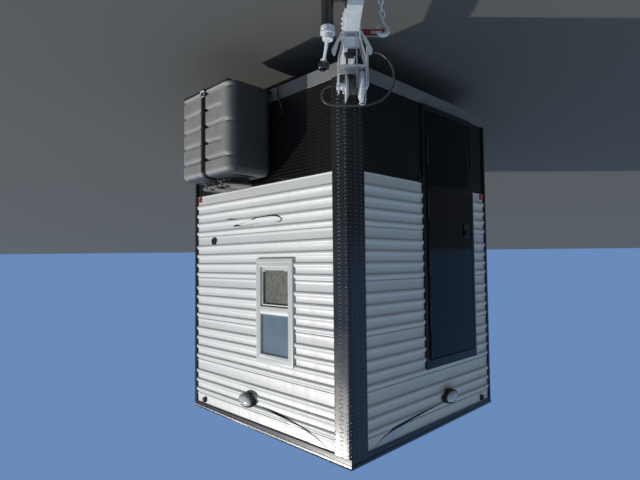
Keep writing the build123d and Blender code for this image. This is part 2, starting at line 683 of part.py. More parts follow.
# Windows: frame with a meeting rail, lower sash, screen and two panes
frames = []
sashes = []
screens = []
panes = []
lower_base = WINDOW_SILL + WINDOW_BOTTOM_RAIL
lower_top = lower_base + WINDOW_LOWER_PANE
upper_top = WINDOW_TOP - WINDOW_TOP_RAIL
upper_base = upper_top - WINDOW_UPPER_PANE
pane_back = -SASH_SETBACK - (SASH_THICKNESS + GLASS_THICKNESS) / 2
for wall, s in windows:
    s0 = s + WINDOW_SIDE
    s1 = s + WINDOW_WIDTH - WINDOW_SIDE
    frame = wall.block(s, s + WINDOW_WIDTH, 0, WINDOW_PROUD, WINDOW_SILL, WINDOW_TOP)
    frame += window_hole(wall, s, WINDOW_FLANGE, -WALL_THICKNESS, 0)
    frame -= wall.block(s0, s1, -reach, reach, upper_base, upper_top)
    frame -= wall.block(s0, s1, -reach, reach, lower_base, lower_top)
    frames.append(frame)
    panes.append(wall.block(s0, s1, 0, GLASS_THICKNESS, upper_base, upper_top))
    panes.append(wall.block(s0 + SASH_WIDTH, s1 - SASH_WIDTH, pane_back, pane_back + GLASS_THICKNESS,
                            lower_base + SASH_WIDTH, lower_top - SASH_WIDTH))
    sash = wall.block(s0, s1, -SASH_SETBACK - SASH_THICKNESS, -SASH_SETBACK, lower_base, lower_top)
    sash -= wall.block(s0 + SASH_WIDTH, s1 - SASH_WIDTH, -reach, reach,
                       lower_base + SASH_WIDTH, lower_top - SASH_WIDTH)
    sashes.append(sash)
    screens.append(wall.block(s0, s1, -SCREEN_SETBACK - SCREEN_THICKNESS, -SCREEN_SETBACK, lower_base, lower_top))
save("window_frames", *frames)
save("window_sashes", *sashes)
save("window_screens", *screens)
save("window_glass", *panes)

# Lights, reflectors and cable port
PORCH_HEIGHT = DOOR_FRAME_TOP + PORCH_ABOVE_DOOR
porch_bases = []
porch_lenses = []
for wall, s in ((nose_left, PORCH_LEFT), (nose_right, PORCH_RIGHT)):
    seat = wall.face(s, BEAD_OUT, PORCH_HEIGHT)
    lens_seat = seat.offset(PORCH_BASE_DEPTH)
    wide, tall = PORCH_BASE
    porch_bases.append(loft([seat * Ellipse(wide, tall), lens_seat * Ellipse(wide - 6, tall - 6)]))
    wide, tall = PORCH_LENS
    porch_lenses.append(loft([lens_seat * Ellipse(wide, tall),
                              lens_seat.offset(PORCH_LENS_DEPTH) * Ellipse(wide - 20, tall - 16)]))
save("porch_light_bases", *porch_bases)
save("porch_light_lenses", *porch_lenses)

marker_z = SIDING_TOP - MARKER_DROP
marker_places = [
    (nose_left, nose_left.length - MARKER_INSET),
    (nose_right, nose_right.length - MARKER_INSET),
    (rear, MARKER_INSET),
    (rear, rear.length - MARKER_INSET),
]
markers = [extrude(w.face(s, SHEET_THICKNESS, marker_z) * RectangleRounded(*MARKER_SIZE, 6),
                   amount=MARKER_DEPTH, taper=8) for w, s in marker_places]
save("marker_lights", *markers)
reflector_places = [
    (nose_left, nose_left.length - REFLECTOR_INSET),
    (nose_right, nose_right.length - REFLECTOR_INSET),
    (rear, REAR_REFLECTOR_INSET),
    (rear, rear.length - REAR_REFLECTOR_INSET),
]
reflector_z = SIDING_BASE + REFLECTOR_SIZE[1] / 2
reflectors = [extrude(w.face(s, SHEET_THICKNESS, reflector_z) * RectangleRounded(*REFLECTOR_SIZE, 4),
                      amount=REFLECTOR_DEPTH) for w, s in reflector_places]
save("reflectors", *reflectors)
cable_port = extrude(port * Circle(PORT_RADIUS), amount=PORT_PROUD)
cable_port -= extrude(port.offset(PORT_PROUD - 4) * Circle(PORT_RADIUS - 10), amount=6)

# Gas bottle cover, its lid, strap and tray
cover_end = nose_right.length - COVER_FROM_SHOULDER
cover_start = cover_end - COVER_LENGTH
cover_middle = (cover_start + cover_end) / 2
cover_out = COVER_GAP + COVER_WIDTH / 2
cover_base = Plane(origin=nose_right.at(cover_middle, cover_out, COVER_BOTTOM),
                   x_dir=nose_right.along, z_dir=(0, 0, 1))
cover = extrude(cover_base * RectangleRounded(COVER_LENGTH, COVER_WIDTH, COVER_CORNER), amount=COVER_HEIGHT)
cover = fillet(cover.faces().sort_by(Axis.Z)[-1].edges(), COVER_EDGE)


def cover_outline(inset):
    return RectangleRounded(COVER_LENGTH - 2 * inset, COVER_WIDTH - 2 * inset, COVER_CORNER - inset)


# Each step is cut square under the band above and slopes out to the band below
for i in range(GROOVE_COUNT):
    level = FIRST_GROOVE + i * GROOVE_PITCH
    core = loft([cover_base.offset(level) * cover_outline(0),
                 cover_base.offset(level + GROOVE_HEIGHT) * cover_outline(GROOVE_DEPTH)])
    step = extrude(cover_base.offset(level) * cover_outline(-GROOVE_DEPTH), amount=GROOVE_HEIGHT) - core
    inset = LONG_GROOVE_INSET if i % 2 == 0 else SHORT_GROOVE_INSET
    beyond = nose_right.block(cover_start + inset, cover_end + reach,
                              cover_out, cover_out + COVER_WIDTH, 0, WALL_TOP)
    beyond += nose_right.block(cover_middle, cover_end + reach,
                               cover_out - COVER_WIDTH, cover_out, 0, WALL_TOP)
    cover -= step & beyond
save("tank_cover", cover)
lid_out = cover_out - LID_SETBACK
lid_plane = Plane(origin=nose_right.at(cover_middle, lid_out, COVER_BOTTOM + COVER_HEIGHT),
                  x_dir=nose_right.along, z_dir=(0, 0, 1))
lid_neck = extrude(lid_plane * RectangleRounded(LID_LENGTH - 2 * LID_NECK_INSET, LID_WIDTH - 2 * LID_NECK_INSET,
                                                LID_CORNER - LID_NECK_INSET), amount=LID_LIFT)
lid_plate = extrude(lid_plane.offset(LID_LIFT) * RectangleRounded(LID_LENGTH, LID_WIDTH, LID_CORNER),
                    amount=LID_THICKNESS)
lid_plate = fillet(lid_plate.edges().group_by(Axis.Z)[-1], LID_THICKNESS / 2)
save("tank_lid", lid_neck + lid_plate)

# The strap goes up the cover's face, over its shoulder and hooks on the lid
strap_start = cover_middle + STRAP_FROM_MIDDLE
strap_end = strap_start + STRAP_WIDTH
cover_front = COVER_GAP + COVER_WIDTH
cover_top = COVER_BOTTOM + COVER_HEIGHT
lid_top = cover_top + LID_LIFT + LID_THICKNESS
lid_front = lid_out + LID_WIDTH / 2
strap_outer = cover_front + STRAP_THICKNESS
strap_lid = lid_front + STRAP_THICKNESS
shoulder = COVER_EDGE * (1 - tan(pi / 8))
strap_side = [
    (cover_front, COVER_BOTTOM - TRAY_THICKNESS),
    (strap_outer, COVER_BOTTOM - TRAY_THICKNESS),
    (strap_outer, cover_top - shoulder + 2),
    (cover_front - shoulder + 2, cover_top + STRAP_THICKNESS),
    (strap_lid, cover_top + STRAP_THICKNESS),
    (strap_lid, lid_top + STRAP_THICKNESS),
    (lid_front - STRAP_REACH, lid_top + STRAP_THICKNESS),
    (lid_front - STRAP_REACH, lid_top),
    (lid_front, lid_top),
    (lid_front, cover_top),
    (cover_front - shoulder, cover_top),
    (cover_front, cover_top - shoulder),
]
strap = nose_right.run(strap_side, strap_start, strap_end)
tray_ends = (cover_start + TRAY_INSET, cover_end - TRAY_INSET)
tray = nose_right.block(*tray_ends, 0, cover_front, COVER_BOTTOM - TRAY_THICKNESS, COVER_BOTTOM)
for s in (tray_ends[0] + TRAY_INSET, tray_ends[1] - TRAY_INSET):
    gusset = [(0, GROUND_CLEARANCE), (0, COVER_BOTTOM), (cover_front - 20, COVER_BOTTOM - TRAY_THICKNESS)]
    tray += nose_right.run(gusset, s - GUSSET_THICKNESS / 2, s + GUSSET_THICKNESS / 2)
save("tank_strap", strap)
save("tank_tray", tray)

# Gas hose from its fitting on the skirt, down over the rail and under it
fitting_end = cover_start - FITTING_TO_COVER
fitting_start = fitting_end - FITTING_SIZE[0]
hose_out = SKIRT_THICKNESS + GAS_HOSE_RADIUS + HOSE_STAND
hose_s = fitting_start + FITTING_SIZE[0] / 2
rail_foot = GROUND_CLEARANCE
hose_path = [
    nose_right.at(hose_s, hose_out, FITTING_HEIGHT),
    nose_right.at(hose_s, hose_out, FITTING_HEIGHT - 25),
    nose_right.at(hose_s + 20, hose_out + 5, RAIL_TOP + 25),
    nose_right.at(hose_s + 40, hose_out + 2, RAIL_TOP - 30),
    nose_right.at(hose_s + 40, hose_out + 4, rail_foot),
    nose_right.at(hose_s + 40, -14, rail_foot - 28),
    nose_right.at(hose_s + 40, -62, rail_foot - 28),
]
gas_hose = tube(hose_path, GAS_HOSE_RADIUS)
hose_fitting = nose_right.block(fitting_start, fitting_end, SKIRT_THICKNESS, hose_out + 14,
                                FITTING_HEIGHT, FITTING_HEIGHT + FITTING_SIZE[1])
save("gas_hose", gas_hose)
save("wall_fittings", cable_port, hose_fitting, catch)

# Wheels on swing arms
wheel_x = HALF - WHEEL_INSET - TYRE_WIDTH / 2
tyres = []
rims = []
arms = []
for sign in (1, -1):
    hub = Plane(origin=(sign * wheel_x, AXLE_Y, TYRE_RADIUS), z_dir=(sign, 0, 0))
    tyre = extrude(hub * Circle(TYRE_RADIUS), amount=TYRE_WIDTH / 2, both=True)
    tyre = chamfer(tyre.edges().filter_by(GeomType.CIRCLE), TYRE_SHOULDER, 0.6 * TYRE_SHOULDER)
    tyre -= extrude(hub * Circle(RIM_RADIUS), amount=TYRE_WIDTH, both=True)
    tyres.append(tyre)
    rim = extrude(hub * Circle(RIM_RADIUS), amount=RIM_HALF, both=True)
    rim -= extrude(hub.offset(RIM_DISH) * Circle(RIM_RADIUS - RIM_WALL), amount=RIM_HALF)
    rim -= extrude(hub.offset(-4) * Circle(RIM_RADIUS - RIM_WALL), amount=-RIM_HALF)
    rim += extrude(hub * Circle(HUB_RADIUS), amount=HUB_LENGTH)
    for i in range(8):
        turn = 2 * pi * i / 8
        hole = Pos(RIM_HOLE_RING * cos(turn), RIM_HOLE_RING * sin(turn)) * Circle(RIM_HOLE_RADIUS)
        rim -= extrude(hub.offset(-4) * hole, amount=RIM_DISH + 6)
    rims.append(rim)
    arm_x = WELL_INNER + ARM_GAP
    pivot_y = AXLE_Y - ARM_SETBACK
    arm_side = Plane(origin=(sign * arm_x, 0, 0), x_dir=(0, 1, 0), z_dir=(1, 0, 0))
    arm_outline = make_hull((Pos(AXLE_Y, TYRE_RADIUS) * Circle(ARM_END_RADIUS)).edges()
                            + (Pos(pivot_y, ARM_PIVOT_HEIGHT) * Circle(ARM_PIVOT_RADIUS)).edges())
    arm = extrude(arm_side * arm_outline, amount=sign * ARM_THICKNESS)
    arm += rod((sign * (arm_x + ARM_THICKNESS / 2), AXLE_Y, TYRE_RADIUS),
               (sign * (wheel_x - 4), AXLE_Y, TYRE_RADIUS), SPINDLE_RADIUS)
    arm += rod((sign * WELL_INNER, pivot_y, ARM_PIVOT_HEIGHT),
               (sign * (arm_x + ARM_THICKNESS / 2), pivot_y, ARM_PIVOT_HEIGHT), SPINDLE_RADIUS)
    arms.append(arm)
save("tyres", *tyres)
save("wheel_rims", *rims)
save("swing_arms", *arms)

# Coupler: a sleeve on the beam's end that tapers to a rounded ball housing
tip = NOSE_Y - TONGUE_REACH
ball_y = tip + BALL_FROM_TIP
sleeve_half = tongue_half + COUPLER_WALL
coupler_low = GROUND_CLEARANCE - COUPLER_WALL
coupler_high = RAIL_TOP + COUPLER_WALL
sleeve = block(-sleeve_half, sleeve_half, coupler_back - COUPLER_LAP, coupler_back, coupler_low, coupler_high)
sleeve -= block(-tongue_half, tongue_half, beam_front, coupler_back, GROUND_CLEARANCE, RAIL_TOP)
neck_outline = make_hull(
    (Pos(0, ball_y) * Circle(BALL_FROM_TIP)).edges()
    + (Pos(0, coupler_back - COUPLER_LAP + 10) * Rectangle(2 * sleeve_half, 20)).edges())
socket_low = coupler_high - COUPLER_HOUSING
housing = extrude(Plane.XY.offset(socket_low) * neck_outline, amount=COUPLER_HOUSING)
housing -= block(-2 * sleeve_half, 2 * sleeve_half, coupler_back - COUPLER_LAP, coupler_back, 0, ROOF_TOP)
housing -= Pos(0, ball_y, socket_low + SOCKET_LENGTH / 2) * Cylinder(COUPLER_BALL_RADIUS, SOCKET_LENGTH)
housing -= Pos(0, ball_y, socket_low + SOCKET_LENGTH) * Sphere(COUPLER_BALL_RADIUS)
latch_base = Plane(origin=(0, ball_y + 34, coupler_high), x_dir=(0, 1, 0), z_dir=(1, 0, 0))
latch_side = [(0, 0), (0, 16), (18, 34), (96, 40), (98, 30), (30, 22), (24, 0)]
latch = extrude(latch_base * Polygon(*latch_side, align=None), amount=13, both=True)
save("coupler", housing + sleeve + latch)

# Winch post: two plates that lap the beam's sides and spread up to the winch
winch_y = NOSE_Y - WINCH_AHEAD
post_y0 = winch_y - POST_DEPTH / 2
post_y1 = winch_y + POST_DEPTH / 2
winch_half = WINCH_WIDTH / 2
post_knee = RAIL_TOP + POST_KNEE
post_side = tongue_half + POST_PLATE
winch_floor = WINCH_AXIS - GEAR_RADIUS - 22
post = []
for sign in (1, -1):
    side = [
        (tongue_half, GROUND_CLEARANCE),
        (tongue_half, post_knee),
        (winch_half - POST_PLATE, winch_floor - 40),
        (winch_half - POST_PLATE, winch_floor),
        (winch_half, winch_floor),
        (winch_half, winch_floor - 42),
        (post_side, post_knee - 2),
        (post_side, GROUND_CLEARANCE),
    ]
    points = [(sign * x, z) for x, z in side]
    face = Plane(origin=(0, post_y1, 0), x_dir=(1, 0, 0), z_dir=(0, -1, 0))
    post.append(extrude(face * Polygon(*points, align=None), amount=POST_DEPTH, dir=(0, -1, 0)))
    # A bent ear that stands out from the plate above the beam
    ear = [
        (post_side, RAIL_TOP - 10),
        (post_side, RAIL_TOP + 4),
        (post_side + EAR_REACH - 4, RAIL_TOP + EAR_HEIGHT),
        (post_side + EAR_REACH, RAIL_TOP + EAR_HEIGHT - 5),
    ]
    face = Plane(origin=(0, post_y0 + EAR_WIDTH, 0), x_dir=(1, 0, 0), z_dir=(0, -1, 0))
    points = [(sign * x, z) for x, z in ear]
    post.append(extrude(face * Polygon(*points, align=None), amount=EAR_WIDTH, dir=(0, -1, 0)))
gear_x = -winch_half + WINCH_PLATE + GEAR_GAP
drum_x0 = gear_x + GEAR_THICKNESS + FLANGE_CUP
flange_x = winch_half - WINCH_PLATE - FLANGE_INSET
cable_x = drum_x0 + 2 * CABLE_RADIUS
cable_y = winch_y - CABLE_WRAP_RADIUS + CABLE_RADIUS
cable_hole = rod((cable_x, cable_y, RAIL_TOP), (cable_x, cable_y, WINCH_AXIS), CABLE_RADIUS + 3)
post_cap = block(-winch_half, winch_half, post_y0, post_y1, winch_floor, winch_floor + POST_PLATE)
guide = block(-tongue_half, tongue_half, cable_y + 4 * CABLE_RADIUS, cable_y + 10 * CABLE_RADIUS,
              RAIL_TOP + GUIDE_LIFT, RAIL_TOP + GUIDE_LIFT + GUIDE_HEIGHT)
save("winch_post", post[0] + post[1] + post[2] + post[3] + post_cap + guide - cable_hole)

# A keeper bar beside the left plate, where the safety chain's hook hangs
keeper_y = (winch_y - KEEPER_HALF, winch_y + KEEPER_HALF)
keeper_end = Vector(0, KEEPER_RADIUS + 1, 0)
keeper = rod(Vector(-KEEPER_X, keeper_y[0], KEEPER_Z) - keeper_end,
             Vector(-KEEPER_X, keeper_y[1], KEEPER_Z) + keeper_end, KEEPER_RADIUS)
for y in keeper_y:
    keeper += rod((-KEEPER_X, y, KEEPER_Z), (-post_side, y, KEEPER_Z), KEEPER_RADIUS - 1)
save("hook_keeper", keeper)

# Winch gearing
module = GEAR_RADIUS * 2 / (GEAR_TEETH + 2)
tooth_depth = 2.1 * module
pinion_radius = module * (PINION_TEETH + 2) / 2
centre_distance = GEAR_RADIUS + pinion_radius - 2 * module + GEAR_BACKLASH
pinion_y = winch_y + sqrt(centre_distance ** 2 - PINION_DROP ** 2)
pinion_z = WINCH_AXIS - PINION_DROP

# Winch frame: two side plates on a base, with holes for both shafts
base_top = winch_floor + POST_PLATE
frame_side = [
    (post_y0, base_top),
    (post_y1 + 30, base_top),
    (post_y1 + 50, pinion_z + 10),
    (pinion_y, pinion_z + 24),
    (winch_y + 24, WINCH_AXIS + 26),
    (winch_y - 24, WINCH_AXIS + 26),
    (post_y0 - 6, base_top + 50),
]


def disc(x0, x1, radius, y, z):
    return rod((x0, y, z), (x1, y, z), radius)


plates = block(-winch_half, winch_half, post_y0, post_y1, base_top, base_top + WINCH_PLATE)
for x0 in (-winch_half, winch_half - WINCH_PLATE):
    side = Plane(origin=(x0, 0, 0), x_dir=(0, 1, 0), z_dir=(1, 0, 0))
    plates += extrude(side * Polygon(*frame_side, align=None), amount=WINCH_PLATE, dir=(1, 0, 0))
plates -= disc(-winch_half, winch_half, AXLE_RADIUS + SHAFT_CLEARANCE, winch_y, WINCH_AXIS)
plates -= disc(-winch_half, winch_half, SHAFT_RADIUS + SHAFT_CLEARANCE, pinion_y, pinion_z)
right_plate = winch_half - WINCH_PLATE
pawl_z = WINCH_AXIS + PAWL_RADIUS
pawl_y = winch_y - GEAR_RADIUS / 3
plates += disc(right_plate - PAWL_REACH, right_plate, PAWL_RADIUS, pawl_y, pawl_z)
plates += block(right_plate - PAWL_REACH, right_plate - PAWL_REACH + 8, pawl_y - 7, pawl_y + 7,
                pawl_z, pawl_z + 4 * PAWL_RADIUS)
hoop_y = winch_y - 12
hoop_top = WINCH_AXIS + GEAR_RADIUS + HOOP_RISE
hoop_foot = -winch_half + WINCH_PLATE / 2
plates += tube([
    Vector(hoop_foot, hoop_y, WINCH_AXIS),
    Vector(hoop_foot, hoop_y, WINCH_AXIS + GEAR_RADIUS - 10),
    Vector(hoop_foot + 6, hoop_y, hoop_top),
    Vector(gear_x + GEAR_THICKNESS, hoop_y, hoop_top),
    Vector(gear_x + GEAR_THICKNESS + 8, hoop_y, hoop_top - HOOP_RISE / 2),
], HOOP_WIRE)
save("winch_frame", plates - cable_hole)


# Toothed wheels
def toothed_wheel(teeth, radius, width, x0, y, z, facing):
    """A spur wheel whose axis is X, with the middle of a tooth at the angle facing."""
    points = []
    for i in range(teeth):
        for share, r in ((-0.38, radius - tooth_depth), (-0.15, radius), (0.15, radius), (0.38, radius - tooth_depth)):
            turn = facing + 2 * pi * (i + share) / teeth
            points.append((r * cos(turn), r * sin(turn)))
    side = Plane(origin=(x0, y, z), x_dir=(0, 1, 0), z_dir=(1, 0, 0))
    return extrude(side * Polygon(*points, align=None), amount=width, dir=(1, 0, 0))


def dish(x0, x1, radius0, radius1, y, z):
    """A round piece along X whose radius goes evenly from one end to the other."""
    start = Plane(origin=(x0, y, z), z_dir=(1, 0, 0))
    return loft([start * Circle(radius0), start.offset(x1 - x0) * Circle(radius1)])


mesh_angle = atan2(pinion_z - WINCH_AXIS, pinion_y - winch_y)
cup_x = gear_x + GEAR_THICKNESS
cup_radius = GEAR_RADIUS - tooth_depth - 1
drum = toothed_wheel(GEAR_TEETH, GEAR_RADIUS, GEAR_THICKNESS, gear_x, winch_y, WINCH_AXIS, mesh_angle)
drum += dish(cup_x, drum_x0, cup_radius, CABLE_WRAP_RADIUS + 4, winch_y, WINCH_AXIS)
drum += disc(drum_x0, flange_x, DRUM_RADIUS, winch_y, WINCH_AXIS)
drum += dish(flange_x, flange_x + FLANGE_CUP, CABLE_WRAP_RADIUS + 4, GEAR_RADIUS - 2, winch_y, WINCH_AXIS)
drum += disc(flange_x + FLANGE_CUP, flange_x + FLANGE_CUP + FLANGE_THICKNESS, GEAR_RADIUS, winch_y, WINCH_AXIS)
nut_end = winch_half + NUT_LENGTH
drum += disc(-nut_end, nut_end, AXLE_RADIUS, winch_y, WINCH_AXIS)
for x0 in (-nut_end, winch_half):
    drum += disc(x0, x0 + NUT_LENGTH, NUT_RADIUS, winch_y, WINCH_AXIS)
save("winch_drum", drum)

# Cable wound on the drum, with its taut end down to the beam
cable = disc(drum_x0, flange_x, CABLE_WRAP_RADIUS, winch_y, WINCH_AXIS)
cable -= disc(drum_x0 - 1, flange_x + 1, DRUM_RADIUS, winch_y, WINCH_AXIS)
cable += rod((cable_x, cable_y, RAIL_TOP), (cable_x, cable_y, WINCH_AXIS), CABLE_RADIUS)
save("winch_cable", cable)

# Crank with its pinion, hanging straight down on the left
gap_angle = mesh_angle + pi + pi / PINION_TEETH
crank = toothed_wheel(PINION_TEETH, pinion_radius, GEAR_THICKNESS + 4, gear_x - 2, pinion_y, pinion_z, gap_angle)
crank += disc(-winch_half - 24, gear_x, SHAFT_RADIUS, pinion_y, pinion_z)
crank += disc(gear_x, winch_half + 4, SHAFT_RADIUS - 2, pinion_y, pinion_z)
crank += block(-winch_half - 22, -winch_half - 14, pinion_y - 13, pinion_y + 13,
               pinion_z - WINCH_CRANK_LENGTH, pinion_z + 14)
save("winch_crank", crank)

# Jack: outer tube on a bracket, cap, leg with foot, and the crank above
jack_y = NOSE_Y - JACK_AHEAD
jack_tube = rod((JACK_X, jack_y, JACK_BOTTOM), (JACK_X, jack_y, JACK_TOP), JACK_RADIUS)
cap_top = JACK_TOP + JACK_CAP
hub_low = cap_top + CRANK_GAP
jack_tube += rod((JACK_X, jack_y, JACK_TOP), (JACK_X, jack_y, cap_top), JACK_RADIUS + 4)
jack_tube += rod((JACK_X, jack_y, cap_top), (JACK_X, jack_y, hub_low + CRANK_HUB), JACK_SHAFT_RADIUS)
jack_tube += block(tongue_half, tongue_half + 8, jack_y - JACK_BRACKET, jack_y + JACK_BRACKET,
                   GROUND_CLEARANCE, RAIL_TOP)
for z in (GROUND_CLEARANCE + 10, RAIL_TOP - 18):
    jack_tube += block(tongue_half + 8, JACK_X, jack_y - 24, jack_y + 24, z, z + 8)
sleeve_top = JACK_BOTTOM + JACK_SLEEVE
jack_tube -= rod((JACK_X, jack_y, JACK_BOTTOM), (JACK_X, jack_y, sleeve_top), JACK_LEG_RADIUS)
save("jack_tube", jack_tube)
jack_leg = rod((JACK_X, jack_y, FOOT_THICKNESS), (JACK_X, jack_y, sleeve_top), JACK_LEG_RADIUS)
jack_leg += rod((JACK_X, jack_y, 0), (JACK_X, jack_y, FOOT_THICKNESS), JACK_FOOT_RADIUS)
save("jack_leg", jack_leg)

knob_x = JACK_X + KNOB_OFFSET
knob_y = jack_y + sqrt(CRANK_REACH ** 2 - KNOB_OFFSET ** 2)
hub_top = hub_low + CRANK_HUB
hub_z = hub_low + CRANK_HUB / 2
knob_z = KNOB_HEIGHT
upward = (Align.CENTER, Align.CENTER, Align.MIN)
jack_crank = rod((JACK_X, jack_y, hub_low), (JACK_X, jack_y, hub_top), CRANK_HUB_RADIUS)
jack_crank += rod((JACK_X, jack_y, hub_z), (knob_x, knob_y, knob_z), CRANK_ARM)
jack_crank -= rod((JACK_X, jack_y, hub_low - 1), (JACK_X, jack_y, hub_top + 1), JACK_SHAFT_RADIUS + SHAFT_CLEARANCE)
knob = Pos(knob_x, knob_y, knob_z - 14) * Cylinder(14, 14, align=upward)
knob += Pos(knob_x, knob_y, knob_z) * Cone(18, 28, 38, align=upward)
knob -= Pos(knob_x, knob_y, knob_z + 24) * Cylinder(21, 20, align=upward)
jack_crank += knob
save("jack_crank", jack_crank)

# Hook over the keeper bar, with its eye below
hook_z = KEEPER_Z + KEEPER_RADIUS + 0.3 - (HOOK_RADIUS - HOOK_WIRE)
hook_plane = Plane(origin=(-KEEPER_X, winch_y, hook_z), x_dir=(1, 0, 0), z_dir=(0, -1, 0))
hook_arc = hook_plane * CenterArc((0, 0), HOOK_RADIUS, -50, 240)
hook = sweep(Plane(origin=hook_arc @ 0, z_dir=hook_arc % 0) * Circle(HOOK_WIRE), path=hook_arc)
shank_top = hook_arc @ 1
eye = Vector(-KEEPER_X, winch_y, hook_z - HOOK_SHANK)
chain_end = Vector(-tongue_half - CHAIN_END_OUT, NOSE_Y - CHAIN_END_AHEAD, GROUND_CLEARANCE + CHAIN_END_LIFT)
hook += rod(shank_top, eye + Vector(0, 0, EYE_RADIUS), HOOK_WIRE)
eye_place = Plane(origin=eye, z_dir=(eye - chain_end).cross(Vector(0, 0, 1)))
hook += eye_place * Cylinder(EYE_RADIUS, CHAIN_WIRE)
hook -= eye_place * Cylinder(EYE_HOLE, 4 * CHAIN_WIRE)
save("chain_hook", hook)

# Safety chain, hanging from the hook's eye to an eye on the beam's left side
seat_depth = EYE_HOLE - CHAIN_WIRE / 2 - EYE_PLAY
link_overhang = CHAIN_WIRE / 2 - CHAIN_SLACK / 2
chain_start = eye - Vector(0, 0, seat_depth + link_overhang)


def chain_point(sag, t):
    return chain_start + (chain_end - chain_start) * t - Vector(0, 0, 4 * sag * t * (1 - t))


def chain_length(sag):
    samples = [chain_point(sag, i / 60) for i in range(61)]
    return sum((b - a).length for a, b in zip(samples, samples[1:]))


def chain_sag(length):
    """The sag at which the hanging chain has the given length."""
    low, high = 0.0, length
    for _ in range(40):
        middle = (low + high) / 2
        if chain_length(middle) < length:
            low = middle
        else:
            high = middle
    return low


sag = chain_sag(CHAIN_LINKS * CHAIN_PITCH)
fine = [chain_point(sag, i / 600) for i in range(601)]
centres = []
run = 0.0
for a, b in zip(fine, fine[1:]):
    if run >= (len(centres) + 0.5) * CHAIN_PITCH:
        centres.append((a, (b - a).normalized()))
    run += (b - a).length
links = []
for i, (middle, along) in enumerate(centres):
    side = along.cross(Vector(0, 0, 1)).normalized()
    flat = side if i % 2 == 1 else along.cross(side)
    face = Plane(origin=middle, x_dir=along, z_dir=flat)
    link = SlotOverall(CHAIN_PITCH + 2 * CHAIN_WIRE - CHAIN_SLACK, CHAIN_WIDTH)
    link -= SlotOverall(CHAIN_PITCH - CHAIN_SLACK, CHAIN_WIDTH - 2 * CHAIN_WIRE)
    links.append(extrude(face * link, amount=CHAIN_WIRE / 2, both=True))
end_along = centres[-1][1]
end_eye = chain_end + end_along * (seat_depth + link_overhang)
ring_place = Plane(origin=end_eye, z_dir=(1, 0, 0))
chain_eye = ring_place * Cylinder(EYE_RADIUS, CHAIN_WIRE)
chain_eye += block(end_eye.X, -tongue_half, end_eye.Y - EYE_RADIUS, end_eye.Y - EYE_HOLE - 1,
                   end_eye.Z - 8, end_eye.Z + 8)
chain_eye -= ring_place * Cylinder(EYE_HOLE, 2 * CHAIN_WIRE)
save("safety_chain", *links, chain_eye)
print("links", len(links), "sag", round(sag, 1))

# Wiring cable: out of a grommet on the beam, over the winch and back to its plug behind the post
wire_route = [
    (WIRE_X, WIRE_AHEAD, RAIL_TOP + GROMMET_HEIGHT),
    (WIRE_X, WIRE_AHEAD, 412),
    (18, 286, 455),
    (38, 316, 505),
    (66, 346, 545),
    (97, 369, 570),
    (133, 382, 580),
    (154, 390, 610),
    (153, 396, 647),
    (129, 402, 676),
    (93, 406, 684),
    (30, 409, 688),
    (-36, 408, 689),
    (-98, 402, 682),
    (-155, 392, 658),
    (-200, 382, 618),
    (-227, 372, 565),
    (-233, 360, 508),
    (-222, 348, 448),
    (-190, 338, 400),
    (-148, 334, RAIL_TOP + PLUG_RADIUS + 2),
    (-108, 334, RAIL_TOP + PLUG_RADIUS + 2),
]
wire_points = [Vector(x, NOSE_Y - ahead, z) for x, ahead, z in wire_route]
save("wiring_cable", tube(wire_points, WIRE_RADIUS))
plug_start = wire_points[-1]
plug_line = Plane(origin=plug_start, z_dir=(1, 0, 0))
plug = loft([plug_line * Circle(WIRE_RADIUS + 2), plug_line.offset(PLUG_NECK) * Circle(2 * WIRE_RADIUS)])
plug += extrude(plug_line.offset(PLUG_NECK) * Circle(PLUG_RADIUS), amount=PLUG_LENGTH - PLUG_NECK)
save("wiring_plug", plug)
holder_x = plug_start.X + PLUG_LENGTH
holder = block(holder_x, holder_x + 36, plug_start.Y - 24, plug_start.Y + 24,
               RAIL_TOP, plug_start.Z + PLUG_RADIUS + 4)
grommet = Pos(WIRE_X, NOSE_Y - WIRE_AHEAD, RAIL_TOP) * Cone(18, 11, GROMMET_HEIGHT, align=upward)
save("wiring_mounts", holder, grommet)
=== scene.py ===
"""Looks of the ice fishing hut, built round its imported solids.

Metres, unless a line says millimetres. +Z is up and the tongue points to -Y. The photograph is upside
down, so the camera is too.
"""

import json
from math import atan2, ceil, cos, pi, radians, sin, sqrt, tan

import bmesh
import bpy
from mathutils import Matrix, Vector


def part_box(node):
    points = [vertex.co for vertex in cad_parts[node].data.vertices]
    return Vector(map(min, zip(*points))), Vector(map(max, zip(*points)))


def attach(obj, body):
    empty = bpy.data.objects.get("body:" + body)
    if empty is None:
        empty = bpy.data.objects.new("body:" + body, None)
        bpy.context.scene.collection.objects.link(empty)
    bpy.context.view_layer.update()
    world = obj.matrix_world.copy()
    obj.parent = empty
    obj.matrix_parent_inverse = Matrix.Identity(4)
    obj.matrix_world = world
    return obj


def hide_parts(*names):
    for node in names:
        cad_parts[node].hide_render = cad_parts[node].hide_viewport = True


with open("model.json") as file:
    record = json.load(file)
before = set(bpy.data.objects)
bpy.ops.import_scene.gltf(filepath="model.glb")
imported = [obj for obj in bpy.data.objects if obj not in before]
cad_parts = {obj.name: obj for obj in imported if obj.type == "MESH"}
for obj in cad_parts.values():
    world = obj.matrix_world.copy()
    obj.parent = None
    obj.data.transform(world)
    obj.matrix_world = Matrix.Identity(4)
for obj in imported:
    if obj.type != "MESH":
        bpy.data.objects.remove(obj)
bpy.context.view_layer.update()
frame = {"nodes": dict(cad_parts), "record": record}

# Plan and levels, read from the solids
deck_low, deck_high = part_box("floor_deck")
siding_low, siding_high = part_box("nose_right_siding")
HALF = deck_high.x
NOSE_Y = deck_low.y
SHOULDER_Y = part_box("right_wall")[0].y
REAR_Y = deck_high.y
RAIL_TOP = deck_low.z
SIDING_BASE = siding_low.z
SIDING_TOP = siding_high.z
